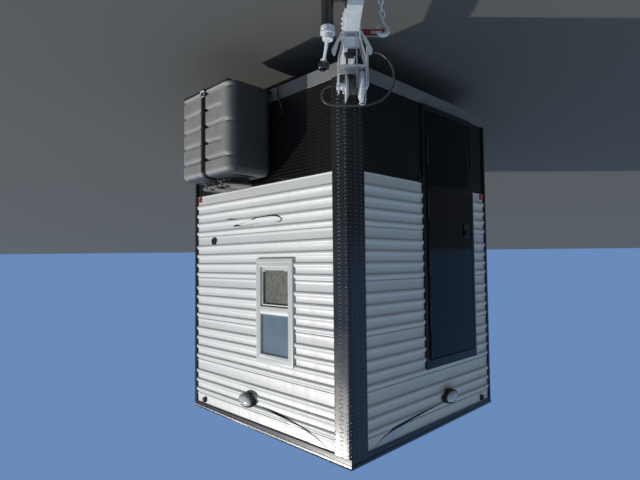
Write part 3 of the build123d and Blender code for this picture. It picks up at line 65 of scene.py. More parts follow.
ROOF_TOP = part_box("roof_panel")[1].z
ROOF_CROWN = 0.022
SHEET = 0.002
SKIRT_OUT = 0.003
TRIM_OUT = 0.015
NOSE_LEG_LEFT = 0.135
NOSE_LEG_RIGHT = 0.116
CORNER_LEG = 0.027
LAP_IN = 0.006
UP = Vector((0, 0, 1))
RIGHT = Vector((1, 0, 0))


def vec(x, y, z):
    return Vector((x, y, z))


def mm(*rows):
    """Rows of millimetres, in metres."""
    return [tuple(v / 1000 for v in row) for row in rows]


# Places on the walls
class Wall:
    """One straight wall face: s runs along it, out points outdoors. Its siding runs from first to last."""

    def __init__(self, start, end, outward, first=LAP_IN):
        run = vec(*end, 0) - vec(*start, 0)
        self.start = vec(*start, 0)
        self.along = run.normalized()
        self.length = run.length
        self.out = vec(*outward, 0).normalized()
        self.first = first
        self.last = self.length - LAP_IN

    def at(self, s, out, z):
        return self.start + self.along * s + self.out * out + UP * z


NR = Wall((0, NOSE_Y), (HALF, SHOULDER_Y), (SHOULDER_Y - NOSE_Y, -HALF), NOSE_LEG_RIGHT - LAP_IN)
NL = Wall((0, NOSE_Y), (-HALF, SHOULDER_Y), (NOSE_Y - SHOULDER_Y, -HALF), NOSE_LEG_LEFT - LAP_IN)
RT = Wall((HALF, SHOULDER_Y), (HALF, REAR_Y), (1, 0))
LT = Wall((-HALF, SHOULDER_Y), (-HALF, REAR_Y), (-1, 0))
RE = Wall((HALF, REAR_Y), (-HALF, REAR_Y), (0, 1))


def corner(a, b, out):
    foot = a.start + a.out * out
    gap = (b.start + b.out * out - foot).dot(b.out)
    return foot + a.along * (gap / a.along.dot(b.out))


# Materials
M = {}
DUST = (0.36, 0.32, 0.27)
DIAGONAL = 0.7071


def rgba(colour, scale=1.0):
    return (colour[0] * scale, colour[1] * scale, colour[2] * scale, 1.0)


class Graph:
    """Nodes of one material or world, added by short calls."""

    def __init__(self, name, blocks=bpy.data.materials):
        self.name = name
        self.block = blocks.new(name)
        self.block.use_nodes = True
        self.nodes = self.block.node_tree.nodes
        self.links = self.block.node_tree.links
        coords = self.node("TexCoord").outputs
        self.place = coords["Object"]
        self.normal = coords["Normal"]
        self.heading = coords["Generated"]

    def put(self, socket, value):
        if isinstance(value, bpy.types.NodeSocket):
            self.links.new(value, socket)
        else:
            socket.default_value = value

    def node(self, kind, inputs=(), **settings):
        made = self.nodes.new("ShaderNode" + kind)
        for name, value in settings.items():
            setattr(made, name, value)
        for key, value in dict(inputs).items():
            self.put(made.inputs[key], value)
        return made

    def math(self, operation, a, b=0.0, c=0.0):
        return self.node("Math", {0: a, 1: b, 2: c}, operation=operation).outputs[0]

    def vector(self, operation, a, b):
        made = self.node("VectorMath", {0: a, 1: b}, operation=operation)
        return made.outputs["Value" if operation == "DOT_PRODUCT" else "Vector"]

    def noise(self, size, detail=3.0, stretch=(1, 1, 1)):
        inputs = {"Vector": self.vector("MULTIPLY", self.place, stretch), "Scale": 1 / size}
        return self.node("TexNoise", {**inputs, "Detail": detail, "Roughness": 0.6}).outputs["Fac"]

    def remap(self, value, low, high, to_low=0.0, to_high=1.0, **settings):
        inputs = {0: value, 1: low, 2: high, 3: to_low, 4: to_high}
        return self.node("MapRange", inputs, **settings).outputs[0]

    def blend(self, factor, *colours):
        a, b = [c if isinstance(c, bpy.types.NodeSocket) else rgba(c) for c in colours]
        return self.node("Mix", {0: factor, 6: a, 7: b}, data_type="RGBA").outputs[2]

    def between(self, value, low, high, a, b):
        """Colour a where the value is low, turning to b where it is high."""
        return self.blend(self.remap(value, low, high), a, b)

    def level(self, source=None):
        return self.node("SeparateXYZ", {0: source or self.place}).outputs[2]

    def wall_run(self):
        """The distance along a vertical face, whichever way it looks."""
        return self.vector("DOT_PRODUCT", self.place, self.vector("CROSS_PRODUCT", (0, 0, 1), self.normal))

    def facing(self, direction):
        """How squarely the surface looks in a direction."""
        return self.vector("DOT_PRODUCT", self.node("NewGeometry").outputs["Normal"], tuple(direction))

    def bump(self, height, distance, strength=1.0):
        inputs = {"Height": height, "Distance": distance, "Strength": strength}
        return self.node("Bump", inputs).outputs["Normal"]

    def finish(self, colour, rough, normal=None, metal=0.0, slot=None, **sockets):
        """Joins the shader up and files the material under its slot."""
        inputs = self.nodes["Principled BSDF"].inputs
        self.put(inputs["Base Color"], colour)
        self.put(inputs["Roughness"], rough)
        self.put(inputs["Metallic"], metal)
        if normal is not None:
            self.put(inputs["Normal"], normal)
        for name, value in sockets.items():
            self.put(inputs[name.replace("_", " ")], value)
        M[slot or self.name] = self.block


def surface(name, colour, rough, metal=0.0, mottle=0.08, size=0.25, grain=0.0, grain_size=0.004,
            rough_spread=0.12, dust=0.0, dust_top=0.8, **sockets):
    """A plain finish with uneven colour, uneven gloss, fine grain, and dust that thins out with height."""
    g = Graph(name)
    broad = g.noise(size, 4.0)
    shade = g.between(broad, 0.3, 0.7, rgba(colour, 1 - mottle), rgba(colour, 1 + mottle))
    fine = g.noise(size * 0.13, 3.0)
    if dust:
        fall = g.remap(g.level(), 0.2, dust_top, dust, dust * 0.12)
        patch = g.math("MULTIPLY", fall, g.remap(fine, 0.35, 0.7, 0.35, 1.3))
        shade = g.blend(patch, shade, DUST)
    spread = rough_spread / 2
    gloss = g.remap(g.math("ADD", broad, fine), 0.6, 1.4, rough - spread, rough + spread)
    normal = g.bump(g.noise(grain_size, 2.0), grain) if grain else None
    g.finish(shade, gloss, normal, metal, **sockets)


def tread_height(g, pitch=0.024, half_length=0.01, half_width=0.0036):
    """Raised lozenges that lean left and right in turn."""
    s = g.math("DIVIDE", g.wall_run(), pitch)
    z = g.math("DIVIDE", g.level(), pitch)
    column = g.math("FLOOR", s)
    row = g.math("FLOOR", z)
    a = g.math("SUBTRACT", g.math("SUBTRACT", s, column), 0.5)
    b = g.math("SUBTRACT", g.math("SUBTRACT", z, row), 0.5)
    odd = g.math("PINGPONG", g.math("ADD", column, row), 1.0)
    lean = g.math("MULTIPLY", b, g.math("MULTIPLY_ADD", odd, -2.0, 1.0))
    long = g.math("ABSOLUTE", g.math("ADD", a, lean))
    wide = g.math("ABSOLUTE", g.math("SUBTRACT", a, lean))
    ends = g.math("MULTIPLY", long, pitch * DIAGONAL / half_length)
    sides = g.math("MULTIPLY", wide, pitch * DIAGONAL / half_width)
    fall = g.math("ADD", g.math("MULTIPLY", ends, ends), sides)
    return g.remap(fall, 1.0, 0.35, interpolation_type="SMOOTHSTEP")


def tread_plate(name, colour, rough, lift, dust, shine, depth):
    """Gloss tread plate. lift is the colour that its raised lozenges lean to: rubbed wear on them, together
    with a painted glint of light on their tops.
    """
    g = Graph(name)
    raised = tread_height(g)
    broad = g.noise(0.4, 4.0)
    base = g.between(broad, 0.35, 0.7, rgba(colour, 0.8), rgba(colour, 1.3))
    # raised lozenges turn towards the lift colour: partly rubbed wear, partly a painted glint on their tops
    lit = g.blend(g.math("MULTIPLY", raised, 0.7), base, lift)
    fall = g.remap(g.level(), 0.3, 1.1, dust, dust * 0.1)
    fine = g.noise(0.05, 4.0)
    shade = g.blend(g.math("MULTIPLY", fall, g.remap(fine, 0.35, 0.7, 0.3, 1.2)), lit, DUST)
    gloss = g.remap(broad, 0.3, 0.7, rough - 0.05, rough + 0.08)
    g.finish(shade, gloss, g.bump(raised, depth), Specular_IOR_Level=shine)


def siding_paint():
    g = Graph("siding_white")
    drips = g.noise(0.05, 3.0, (1, 1, 0.06))
    shade = g.between(g.noise(0.5, 4.0), 0.3, 0.7, (0.76, 0.775, 0.785), (0.82, 0.825, 0.82))
    grime = g.math("MULTIPLY", g.remap(drips, 0.5, 0.75, 0.0, 0.16), g.remap(g.level(), 0.9, 2.2, 1.0, 0.35))
    shade = g.blend(grime, shade, (0.46, 0.45, 0.42))
    gloss = g.remap(drips, 0.3, 0.7, 0.36, 0.48)
    g.finish(shade, gloss, g.bump(g.noise(0.012, 2.0), 0.0004, 0.5), Specular_IOR_Level=0.65)


def boards(board=0.085):
    """Tongue and groove pine, with its boards lying level."""
    g = Graph("lining_pine")
    rows = g.math("DIVIDE", g.level(), board)
    row = g.math("FLOOR", rows)
    across = g.math("SUBTRACT", rows, row)
    groove = g.remap(g.math("ABSOLUTE", g.math("SUBTRACT", across, 0.5)), 0.44, 0.49, 1.0, 0.0)
    each = g.node("TexWhiteNoise", {"W": row}, noise_dimensions="1D").outputs["Value"]
    grain = g.noise(0.03, 5.0, (0.12, 0.12, 1.6))
    shade = g.blend(g.math("MULTIPLY", each, 0.6), (0.62, 0.42, 0.23), (0.48, 0.3, 0.15))
    shade = g.blend(g.remap(grain, 0.45, 0.7, 0.0, 0.6), shade, (0.34, 0.19, 0.09))
    g.finish(shade, 0.45, g.bump(groove, 0.003), slot="lining")


def plywood():
    g = Graph("floor_ply")
    grain = g.noise(0.05, 5.0, (1.4, 0.1, 1))
    shade = g.between(grain, 0.35, 0.7, (0.5, 0.36, 0.22), (0.36, 0.24, 0.13))
    g.finish(shade, 0.6, g.bump(grain, 0.0006, 0.6), slot="plywood")


def zinc():
    """Bright plate, duller and browner in patches, with small pits."""
    g = Graph("zinc_plate")
    fine = g.noise(0.008, 3.0)
    shade = g.between(g.noise(0.06, 5.0), 0.35, 0.65, (0.74, 0.77, 0.8), (0.93, 0.94, 0.95))
    stain = g.remap(g.noise(0.11, 5.0), 0.56, 0.72, 0.0, 0.55)
    shade = g.blend(stain, shade, (0.3, 0.26, 0.21))
    gloss = g.math("ADD", g.remap(fine, 0.3, 0.7, 0.26, 0.4), g.math("MULTIPLY", stain, 0.5))
    g.finish(shade, gloss, g.bump(fine, 0.0004, 0.5), 0.22, "zinc", Specular_IOR_Level=0.8)


def insect_mesh(cell=0.0022):
    g = Graph("screen_mesh")
    s, z = [g.math("PINGPONG", g.math("DIVIDE", run, cell), 0.5) for run in (g.wall_run(), g.level())]
    shade = g.between(g.noise(0.03, 4.0), 0.4, 0.65, (0.15, 0.145, 0.135), (0.26, 0.25, 0.235))
    g.finish(shade, 0.8, g.bump(g.math("MAXIMUM", s, z), 0.0005, 0.7))


def glazing():
    g = Graph("window_pane")
    haze = g.remap(g.noise(0.2, 3.0), 0.3, 0.7, 0.02, 0.07)
    shade = g.between(g.noise(0.35, 2.0), 0.35, 0.65, (0.24, 0.33, 0.42), (0.33, 0.43, 0.53))
    g.finish(shade, haze, slot="glass", Alpha=0.72, Specular_IOR_Level=0.7)


def ribbed_trim(rib=0.008):
    """Black moulding with fine upright ribs, their crests painted a little lighter as a painted highlight."""
    g = Graph("ribbed_trim")
    wave = g.math("PINGPONG", g.math("DIVIDE", g.wall_run(), rib), 0.5)
    rise = g.remap(wave, 0.1, 0.4, interpolation_type="SMOOTHSTEP")
    # painted highlight: the rib crests are a little lighter than the grooves
    shade = g.blend(rise, (0.006, 0.006, 0.007), (0.02, 0.02, 0.022))
    g.finish(shade, 0.25, g.bump(rise, 0.0003), Specular_IOR_Level=0.7)


def cover_plastic():
    """Moulded black plastic, with a painted sunlit sheen: faces that look out from the right nose wall are
    painted pale, and the rest keep the plastic's own black.
    """
    g = Graph("cover_plastic")
    broad = g.noise(0.12, 4.0)
    dark = g.between(broad, 0.3, 0.7, (0.05, 0.052, 0.056), (0.068, 0.07, 0.073))
    pale = g.between(broad, 0.3, 0.7, (0.26, 0.257, 0.247), (0.34, 0.336, 0.322))
    # painted sheen: pale where the surface faces out from the right nose wall, towards the sun's glare; the
    # plastic's own black elsewhere
    shade = g.between(g.facing(NR.out), 0.3, 0.9, dark, pale)
    g.finish(shade, g.remap(broad, 0.3, 0.7, 0.46, 0.58), g.bump(g.noise(0.003, 2.0), 0.0006))


def lid_plastic():
    """Black lid with a dusty, bleached top."""
    g = Graph("lid_plastic")
    broad = g.noise(0.08, 4.0)
    pale = g.between(broad, 0.3, 0.7, (0.23, 0.215, 0.18), (0.34, 0.32, 0.27))
    shade = g.between(g.facing(UP), 0.55, 0.95, (0.03, 0.03, 0.031), pale)
    g.finish(shade, g.remap(broad, 0.3, 0.7, 0.46, 0.62), g.bump(g.noise(0.005, 2.0), 0.0008))


for make in (zinc, plywood, boards, siding_paint, insect_mesh, glazing, cover_plastic, lid_plastic,
             ribbed_trim):
    make()
# The lift colours paint rubbed wear on the lozenges together with a painted glint; the nose trim's pale
# blue-grey lift is mostly painted glint and painted sky reflection.
tread_plate("tread_plate", (0.0065, 0.0062, 0.006), 0.25, (0.06, 0.057, 0.055), 0.008, 0.36, 0.003)
tread_plate("trim_tread", (0.01, 0.01, 0.011), 0.24, (0.17, 0.178, 0.19), 0.006, 0.75, 0.002)
surface("frame_paint", (0.25, 0.262, 0.275), 0.42, 0.25, 0.12, 0.18, 0.0003, dust=0.22, dust_top=0.6)
surface("roof_membrane", (0.72, 0.72, 0.7), 0.6, 0, 0.09, 0.5, 0.0008, 0.03)
surface("black_trim", (0.008, 0.008, 0.009), 0.3, 0, 0.2, 0.15, 0.0002, dust=0.02, dust_top=1.2,
        Specular_IOR_Level=0.4)
surface("door_gloss", (0.004, 0.0045, 0.007), 0.07, 0, 0.2, 0.3, 0.0002, 0.12, 0.03, Specular_IOR_Level=0.2)
surface("handle_plastic", (0.008, 0.008, 0.009), 0.22, 0, 0.2, 0.03, 0.0002)
surface("window_vinyl", (0.8, 0.81, 0.8), 0.34, 0, 0.03, 0.2, dust=0.05, dust_top=2.6)
surface("black_plastic", (0.018, 0.018, 0.02), 0.45, 0, 0.25, 0.05, 0.0003)
surface("lens_clear", (0.74, 0.77, 0.8), 0.12, 0, 0.05, 0.03, Coat_Weight=0.6, Subsurface_Weight=0.1)
surface("reflector_red", (0.62, 0.02, 0.015), 0.22, 0, 0.15, 0.01, 0.0006)
surface("strap_rubber", (0.014, 0.014, 0.014), 0.5, 0, 0.25, 0.04, 0.0004)
surface("hose_rubber", (0.065, 0.063, 0.06), 0.36, 0, 0.25, 0.05, 0.0004)
surface("tyre_rubber", (0.026, 0.026, 0.027), 0.72, 0, 0.25, 0.08, 0.0012, dust=0.35, dust_top=0.75)
surface("rim_paint", (0.58, 0.59, 0.6), 0.32, 0.6, 0.1, 0.07, dust=0.25, dust_top=0.7)
surface("wire_rope", (0.72, 0.73, 0.74), 0.38, 0.4, 0.2, 0.006, 0.001, 0.003)
surface("oiled_rope", (0.2, 0.165, 0.12), 0.42, 0.5, 0.6, 0.02, 0.0008, 0.003)
surface("latch_red", (0.22, 0.012, 0.016), 0.4, 0, 0.3, 0.02, 0.0003)
surface("jack_paint", (0.018, 0.018, 0.02), 0.35, 0, 0.25, 0.04, 0.0003, dust=0.12, dust_top=0.6)
surface("stripe_dark", (0.006, 0.007, 0.009), 0.45, 0, 0.15, 0.05, Specular_IOR_Level=0.2)
surface("stripe_pale", (0.66, 0.7, 0.78), 0.45, 0.35, 0.08, 0.06)
surface("dark_chrome", (0.11, 0.112, 0.115), 0.22, 0.9, 0.3, 0.02, 0.0003)
M["tyre"] = M["tyre_rubber"]

for sub in frame["record"]["subparts"]:
    slot = "black_trim" if sub["node"] == "tank_tray" else sub["material_slot"]
    for held in frame["nodes"][sub["node"]].material_slots:
        held.material = M[slot]


# Mesh helpers
def basis(axis):
    """Two directions square to an axis."""
    axis = axis.normalized()
    side = axis.cross(UP)
    if side.length < 0.01:
        side = RIGHT.copy()
    side.normalize()
    return side, axis.cross(side)


def circle(centre, a, b, n):
    """Points round a centre, from a direction a towards b."""
    return [centre + a * cos(2 * pi * i / n) + b * sin(2 * pi * i / n) for i in range(n)]


def arc(centre, a, b, start, end, n):
    """Points on a part of a circle, its start and end in degrees."""
    turns = [radians(start + (end - start) * i / n) for i in range(n + 1)]
    return [centre + a * cos(w) + b * sin(w) for w in turns]


class Shape:
    """Gathers closed forms, then makes one object of them."""

    def __init__(self):
        self.verts = []
        self.faces = []

    def add(self, verts, faces):
        first = len(self.verts)
        self.verts += [tuple(v) for v in verts]
        self.faces += [tuple(i + first for i in face) for face in faces]

    def loft(self, rings, closed=False, folded=False):
        """Skins rings of equal count. The ends are capped unless it runs round to its start. A folded
        ring goes along one face and back along the other, and is capped with a strip of quads."""
        n = len(rings[0])
        faces = []
        for k in range(len(rings) if closed else len(rings) - 1):
            a = k * n
            b = (k + 1) % len(rings) * n
            faces += [(a + i, a + (i + 1) % n, b + (i + 1) % n, b + i) for i in range(n)]
        last = n * (len(rings) - 1)
        if folded:
            for a in (0, last):
                faces += [(a + i, a + i + 1, a + n - 2 - i, a + n - 1 - i) for i in range(n // 2 - 1)]
        elif not closed:
            faces += [tuple(range(n))[::-1], tuple(range(last, last + n))]
        self.add([v for ring in rings for v in ring], faces)

    def prism(self, ring, vector):
        self.loft([ring, [v + vector for v in ring]])

    def run(self, wall, s0, s1, section):
        """Sweeps a section of (out, z) points along a wall."""
        self.prism([wall.at(s0, out, z) for out, z in section], wall.along * (s1 - s0))

    def box(self, wall, s0, s1, out0, out1, z0, z1):
        ring = [wall.at(s, out0, z) for s, z in ((s0, z0), (s1, z0), (s1, z1), (s0, z1))]
        self.prism(ring, wall.out * (out1 - out0))

    def lathe(self, origin, axis, n, *profile):
        """Turns (radius, distance) pairs, in millimetres, about an axis."""
        side, up = basis(axis)
        axis = axis.normalized()
        self.loft([circle(origin + axis * h, side * r, up * r, n) for r, h in mm(*profile)])

    def tube(self, points, radius, n=10, closed=False):
        """A round bar along points, with its section carried along without twist. radius may go by point."""
        count = len(points)
        rings = []
        side = None
        for i in range(count):
            before = points[i - 1] if closed or i > 0 else points[i]
            after = points[(i + 1) % count] if closed or i < count - 1 else points[i]
            along = (after - before).normalized()
            if side is None:
                side = basis(along)[0]
            side = (side - along * side.dot(along)).normalized()
            r = radius[i] if isinstance(radius, list) else radius
            rings.append(circle(points[i], side * r, along.cross(side) * r, n))
        self.loft(rings, closed)

    def build(self, name, slot, replaces=None, body="hut", bevel=0.0, smooth=35, mat=None, segments=2):
        mesh = bpy.data.meshes.new(name)
        mesh.from_pydata(self.verts, [], self.faces)
        bm = bmesh.new()
        bm.from_mesh(mesh)
        bmesh.ops.recalc_face_normals(bm, faces=bm.faces)
        bm.to_mesh(mesh)
        bm.free()
        made = bpy.data.objects.new(name, mesh)
        bpy.context.collection.objects.link(made)
        mesh.materials.append(M[mat or slot])
        mesh.shade_smooth()
        mesh.set_sharp_from_angle(angle=radians(smooth))
        if bevel:
            round_edges(made, bevel, segments, 30)
        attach(made, body)
        if replaces:
            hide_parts(replaces)


def round_edges(made, width, segments, angle):
    mod = made.modifiers.new("edges", "BEVEL")
    mod.width = width
    mod.segments = segments
    mod.limit_method = "ANGLE"
    mod.angle_limit = radians(angle)


def islands(name):
    """The separate closed forms of a CAD node, each as a list of points."""
    mesh = frame["nodes"][name].data
    parent = list(range(len(mesh.vertices)))

    def root(i):
        while parent[i] != i:
            parent[i] = parent[parent[i]]
            i = parent[i]
        return i

    where = {}
    for v in mesh.vertices:
        key = tuple(round(c, 5) for c in v.co)
        parent[v.index] = root(where.setdefault(key, v.index))
    for edge in mesh.edges:
        parent[root(edge.vertices[0])] = root(edge.vertices[1])
    groups = {}
    for v in mesh.vertices:
        groups.setdefault(root(v.index), []).append(v.co.copy())
    return list(groups.values())


def middle(points):
    low = Vector([min(p[i] for p in points) for i in range(3)])
    high = Vector([max(p[i] for p in points) for i in range(3)])
    return (low + high) / 2, low, high


def smooth_step(x):
    x = min(1.0, max(0.0, x))
    return x * x * (3 - 2 * x)


# CAD nodes that show as they are: each gets rounded edges, by width in millimetres and segments
SOFTENED = {
    (4.0, 2): ("tongue_beam", "nose_rails", "side_rails"),
    (3.0, 2): ("cross_members",),
    (2.5, 2): ("door_frame",),
    (2.2, 2): ("door_slab",),
    (2.0, 2): ("window_sashes",),
    (1.6, 2): ("reflectors",),
    (1.4, 2): ("door_handle", "marker_lights", "wall_fittings"),
    (1.5, 1): ("wheel_rims", "swing_arms"),
    (1.4, 1): ("coupler",),
    (1.0, 1): ("winch_post", "tank_tray", "jack_leg", "wiring_plug", "wiring_mounts"),
    (0.8, 1): ("winch_frame", "winch_crank"),
    (0.6, 1): ("hook_keeper",),
    (0.5, 1): ("hinge_leaf", "hinge_pin"),
}
for (width, segments), names in SOFTENED.items():
    for name in names:
        held = frame["nodes"][name]
        held.modifiers.new("weld", "WELD").merge_threshold = 0.00002
        round_edges(held, width / 1000, segments, 35)


# Openings: windows and the door, as (wall, start, end, low, high)
WINDOWS = []
for points in islands("window_frames"):
    centre, low, high = middle(points)
    for wall in (NR, RT, RE, LT, NL):
        flat = centre - wall.start
        out = (flat - UP * flat.z).dot(wall.out)
        s = flat.dot(wall.along)
        if abs(out + 0.014) < 0.02 and 0 < s < wall.length:
            run = [(q - wall.start).dot(wall.along) for q in points]
            WINDOWS.append((wall, min(run), max(run), low.z, high.z))
door_run = [(v.co - NL.start).dot(NL.along) for v in frame["nodes"]["door_frame"].data.vertices]
DOOR_S0 = min(door_run)
DOOR_S1 = max(door_run)
DOOR_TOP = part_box("door_frame")[1].z
OPENINGS = WINDOWS + [(NL, DOOR_S0, DOOR_S1, SIDING_BASE, DOOR_TOP)]

# Siding: sheets of rounded beads, with a lap between courses
COURSE = 0.34
BEAD_STEP = 0.075
SIDING_BACK = 0.0004
UNDER_FASCIA = 0.0245
LAPS = [SIDING_BASE + COURSE * i for i in range(5)] + [SIDING_TOP - 0.077]
BEAD = mm((0, -5), (3, -4), (6.2, -2), (8.8, 0.8), (10.3, 4.5), (10.8, 9), (10.2, 14), (8.7, 19), (6.4, 23.6),
          (3.8, 27.8), (1.5, 31), (0, 33.8))
LAP = mm((0, -2.2), (-1.2, -1.4), (-1.2, -0.2), (4, 0), (4.4, 1.5))


def standing(base, points):
    """Points of a sheet above a level."""
    return [(SHEET + out, base + rise) for out, rise in points]


def siding_profile():
    rows = [(SHEET, SIDING_BASE)]
    for low, high in zip(LAPS, LAPS[1:]):
        if low != LAPS[0]:
            rows += standing(low, LAP + mm((3.4, 10), (0.8, 18), (0, 22)))
        for i in reversed(range(4)):
            foot = high - 0.042 - i * BEAD_STEP
            if foot > low + 0.028:
                rows += standing(foot, BEAD)
    return rows + standing(LAPS[-1], LAP + mm((2.4, 12), (0, 20))) + [(SHEET, SIDING_TOP + 0.03)]


PROFILE = siding_profile()


def clipped(z0, z1):
    """The profile between two levels, with its ends found on the line."""
    def at_level(z):
        for (o0, a), (o1, b) in zip(PROFILE, PROFILE[1:]):
            if a <= z <= b and b > a:
                return (o0 + (o1 - o0) * (z - a) / (b - a), z)
        return (SHEET, z)
    return [at_level(z0)] + [row for row in PROFILE if z0 < row[1] < z1] + [at_level(z1)]


def siding(shape, wall):
    """Sheets on a wall, left out where a window or the door is."""
    holes = [hole[1:] for hole in OPENINGS if hole[0] is wall]
    stops = sorted({wall.first, wall.last} | {s for hole in holes for s in hole[:2]})
    top = SIDING_TOP + UNDER_FASCIA
    for a, b in zip(stops, stops[1:]):
        spans = [(SIDING_BASE, top)]
        for h0, h1, low, high in holes:
            if h0 < (a + b) / 2 < h1:
                spans = [(SIDING_BASE, low), (high, top)] if low > SIDING_BASE + 0.01 else [(high, top)]
        for low, high in spans:
            rows = clipped(low, high)
            rows += [(SIDING_BACK, z) for _, z in rows[::-1]]
            count = max(2, round((b - a) / 0.6) + 1)
            places = [a + (b - a) * k / (count - 1) for k in range(count)]
            shape.loft([[wall.at(s, out, z) for out, z in rows] for s in places], folded=True)


for node, walls in (("nose_right_siding", [NR]), ("nose_left_siding", [NL]), ("side_siding", [RT, LT]),
                    ("rear_siding", [RE])):
    made = Shape()
    for wall in walls:
        siding(made, wall)
    made.build(node + "_beads", "siding_white", node, smooth=40)


# Corner and nose trims: bent plates with a rounded bend and a turned-in edge
def bent_plate(shape, wall_a, leg_a, wall_b, leg_b, bend, reach_a=1, reach_b=1):
    """A plate round the corner where two walls meet, with its own leg on each."""
    ridge = corner(wall_a, wall_b, TRIM_OUT)
    turn = wall_a.out.angle(wall_b.out)
    towards_a = wall_a.along * reach_a
    towards_b = wall_b.along * reach_b
    centre = ridge + towards_a * bend * tan(turn / 2) - wall_a.out * bend
    steps = 8
    thick = 0.003
    fan = [(wall_a.out * sin((1 - i / steps) * turn) + wall_b.out * sin(i / steps * turn)).normalized()
           for i in range(steps + 1)]
    ring = [ridge + towards_a * leg_a]
    ring += [centre + d * bend for d in fan]
    ring += [ridge + towards_b * leg_b, ridge + towards_b * leg_b - wall_b.out * thick]
    ring += [centre + d * (bend - thick) for d in fan[::-1]]
    ring += [ridge + towards_a * leg_a - wall_a.out * thick]
    shape.loft([[vec(v.x, v.y, z) for v in ring] for z in (RAIL_TOP, SIDING_TOP)], folded=True)
    for wall, towards, leg in ((wall_a, towards_a, leg_a), (wall_b, towards_b, leg_b)):
        tip = ridge + towards * leg
        fold = [tip - towards * back - wall.out * deep
                for back, deep in mm((0, 2.6), (2, 2.6), (2, 11.8), (0, 11.8))]
        shape.prism([vec(v.x, v.y, RAIL_TOP + 0.001) for v in fold], UP * (SIDING_TOP - RAIL_TOP - 0.002))


LEG_TO_CORNER = (corner(NL, NR, TRIM_OUT) - NL.at(0, TRIM_OUT, 0)).length
nose_trim = Shape()
bent_plate(nose_trim, NL, NOSE_LEG_LEFT + LEG_TO_CORNER, NR, NOSE_LEG_RIGHT + LEG_TO_CORNER, 0.02)
nose_trim.build("nose_tread_trim", "tread_plate", "nose_corner_trim", smooth=30, bevel=0.0006,
                mat="trim_tread")
side_trims = Shape()
for wall_a, wall_b, reach_a, reach_b in ((NR, RT, -1, 1), (NL, LT, -1, 1), (RT, RE, -1, 1), (LT, RE, -1, -1)):
    bent_plate(side_trims, wall_a, CORNER_LEG, wall_b, CORNER_LEG, 0.008, reach_a, reach_b)
side_trims.build("corner_angle_trims", "black_trim", "corner_trims", smooth=30, bevel=0.0005)


# Roof edge: a fascia round the crowned roof, and the membrane's edge on it
def edge_loft(shape, *section):
    """Carries a section round the house: (out, drop) in millimetres, where the drop is from the roof's
    line, or None at the siding's top. It turns at the five corners and the ridge's end at the rear."""
    rings = []
    for walls in ((NL, NR), (NR, RT), (RT, RE), None, (RE, LT), (LT, NL)):
        ring = []
        for out, drop in section:
            spot = corner(*walls, out / 1000) if walls else RE.at(RE.length / 2, out / 1000, 0)
            roof_line = ROOF_TOP - ROOF_CROWN * min(abs(spot.x), HALF) / HALF
            ring.append(vec(spot.x, spot.y, SIDING_TOP if drop is None else roof_line - drop / 1000))
        rings.append(ring)
    shape.loft(rings, closed=True)


fascia = Shape()
edge_loft(fascia, (-44, -0.4), (-44, -1.8), (8.5, -1.8), (11.2, -0.8), (13.6, 1.2), (15.4, 4), (16.7, 7.5),
          (17.5, 11.5), (17.9, 16), (17.9, 19.6), (16, 20.4), (16, 21.8), (17.2, 22.6), (17.2, 26.2),
          (13.5, 26.2), (13.5, 29), (12.8, None), (3, None), (2.4, 4), (2.4, 0.4), (0, -0.4))
fascia.build("roof_edge_fascia", "black_trim", "roof_trim", smooth=30, mat="ribbed_trim")
cap = Shape()
edge_loft(cap, (-60, -0.2), (-60, -2.7), (5, -2.8), (7.2, -2.5), (7.6, -1.9), (5, -1.4), (-40, -1.4))
cap.build("membrane_edge", "roof_membrane", smooth=30)


# Small fasteners, with their sizes in millimetres
def screw(shape, wall, s, out, z, radius=4.2, height=1.8):
    shape.lathe(wall.at(s, out, z), wall.out, 10, (radius * 0.55, -0.5), (radius, 0), (radius, height * 0.4),
                (radius * 0.7, height), (radius * 0.2, height))


def hex_bolt(shape, place, axis, across, height, washer):
    side, up = basis(axis)
    half = across / 1000 / sqrt(3)
    shape.lathe(place, axis, 18, (washer, -0.5), (washer, 1.2), (washer - 0.8, 1.8))
    shape.prism(circle(place + axis * 0.0016, side * half, up * half, 6), axis * (height / 1000))


screws = Shape()
SCREW_STEP = 0.305
WHEEL_GAP = (1.46, 2.5)
SCREW_RUNS = [(NR, NOSE_LEG_RIGHT + 0.02, NR.length - 0.05), (NL, NOSE_LEG_LEFT + 0.02, DOOR_S0 - 0.02),
              (NL, DOOR_S1 + 0.02, NL.length - 0.05), (RE, 0.06, RE.length - 0.06)]
for wall in (RT, LT):
    SCREW_RUNS += [(wall, 0.06, WHEEL_GAP[0]), (wall, WHEEL_GAP[1], wall.length - 0.06)]
for wall, start, end in SCREW_RUNS:
    count = max(2, round((end - start) / 0.3) + 1)
    for k in range(count):
        s = start + (end - start) * k / (count - 1)
        screw(screws, wall, s, SKIRT_OUT, RAIL_TOP + 0.022)
        screw(screws, wall, s, SKIRT_OUT, SIDING_BASE - 0.02)
for wall, s, foot, radius, height in ((NR, NOSE_LEG_RIGHT - 0.008, 0.05, 3.6, 1.6),
                                      (NL, NOSE_LEG_LEFT - 0.008, 0.05, 3.6, 1.6),
                                      (NR, NR.length - 0.012, 0.06, 3.2, 1.4),
                                      (NL, NL.length - 0.012, 0.06, 3.2, 1.4)):
    for k in range(ceil((SIDING_TOP - RAIL_TOP - foot) / SCREW_STEP)):
        screw(screws, wall, s, TRIM_OUT, RAIL_TOP + foot + SCREW_STEP * k, radius, height)
screws.build("trim_screws", "black_trim", smooth=50)

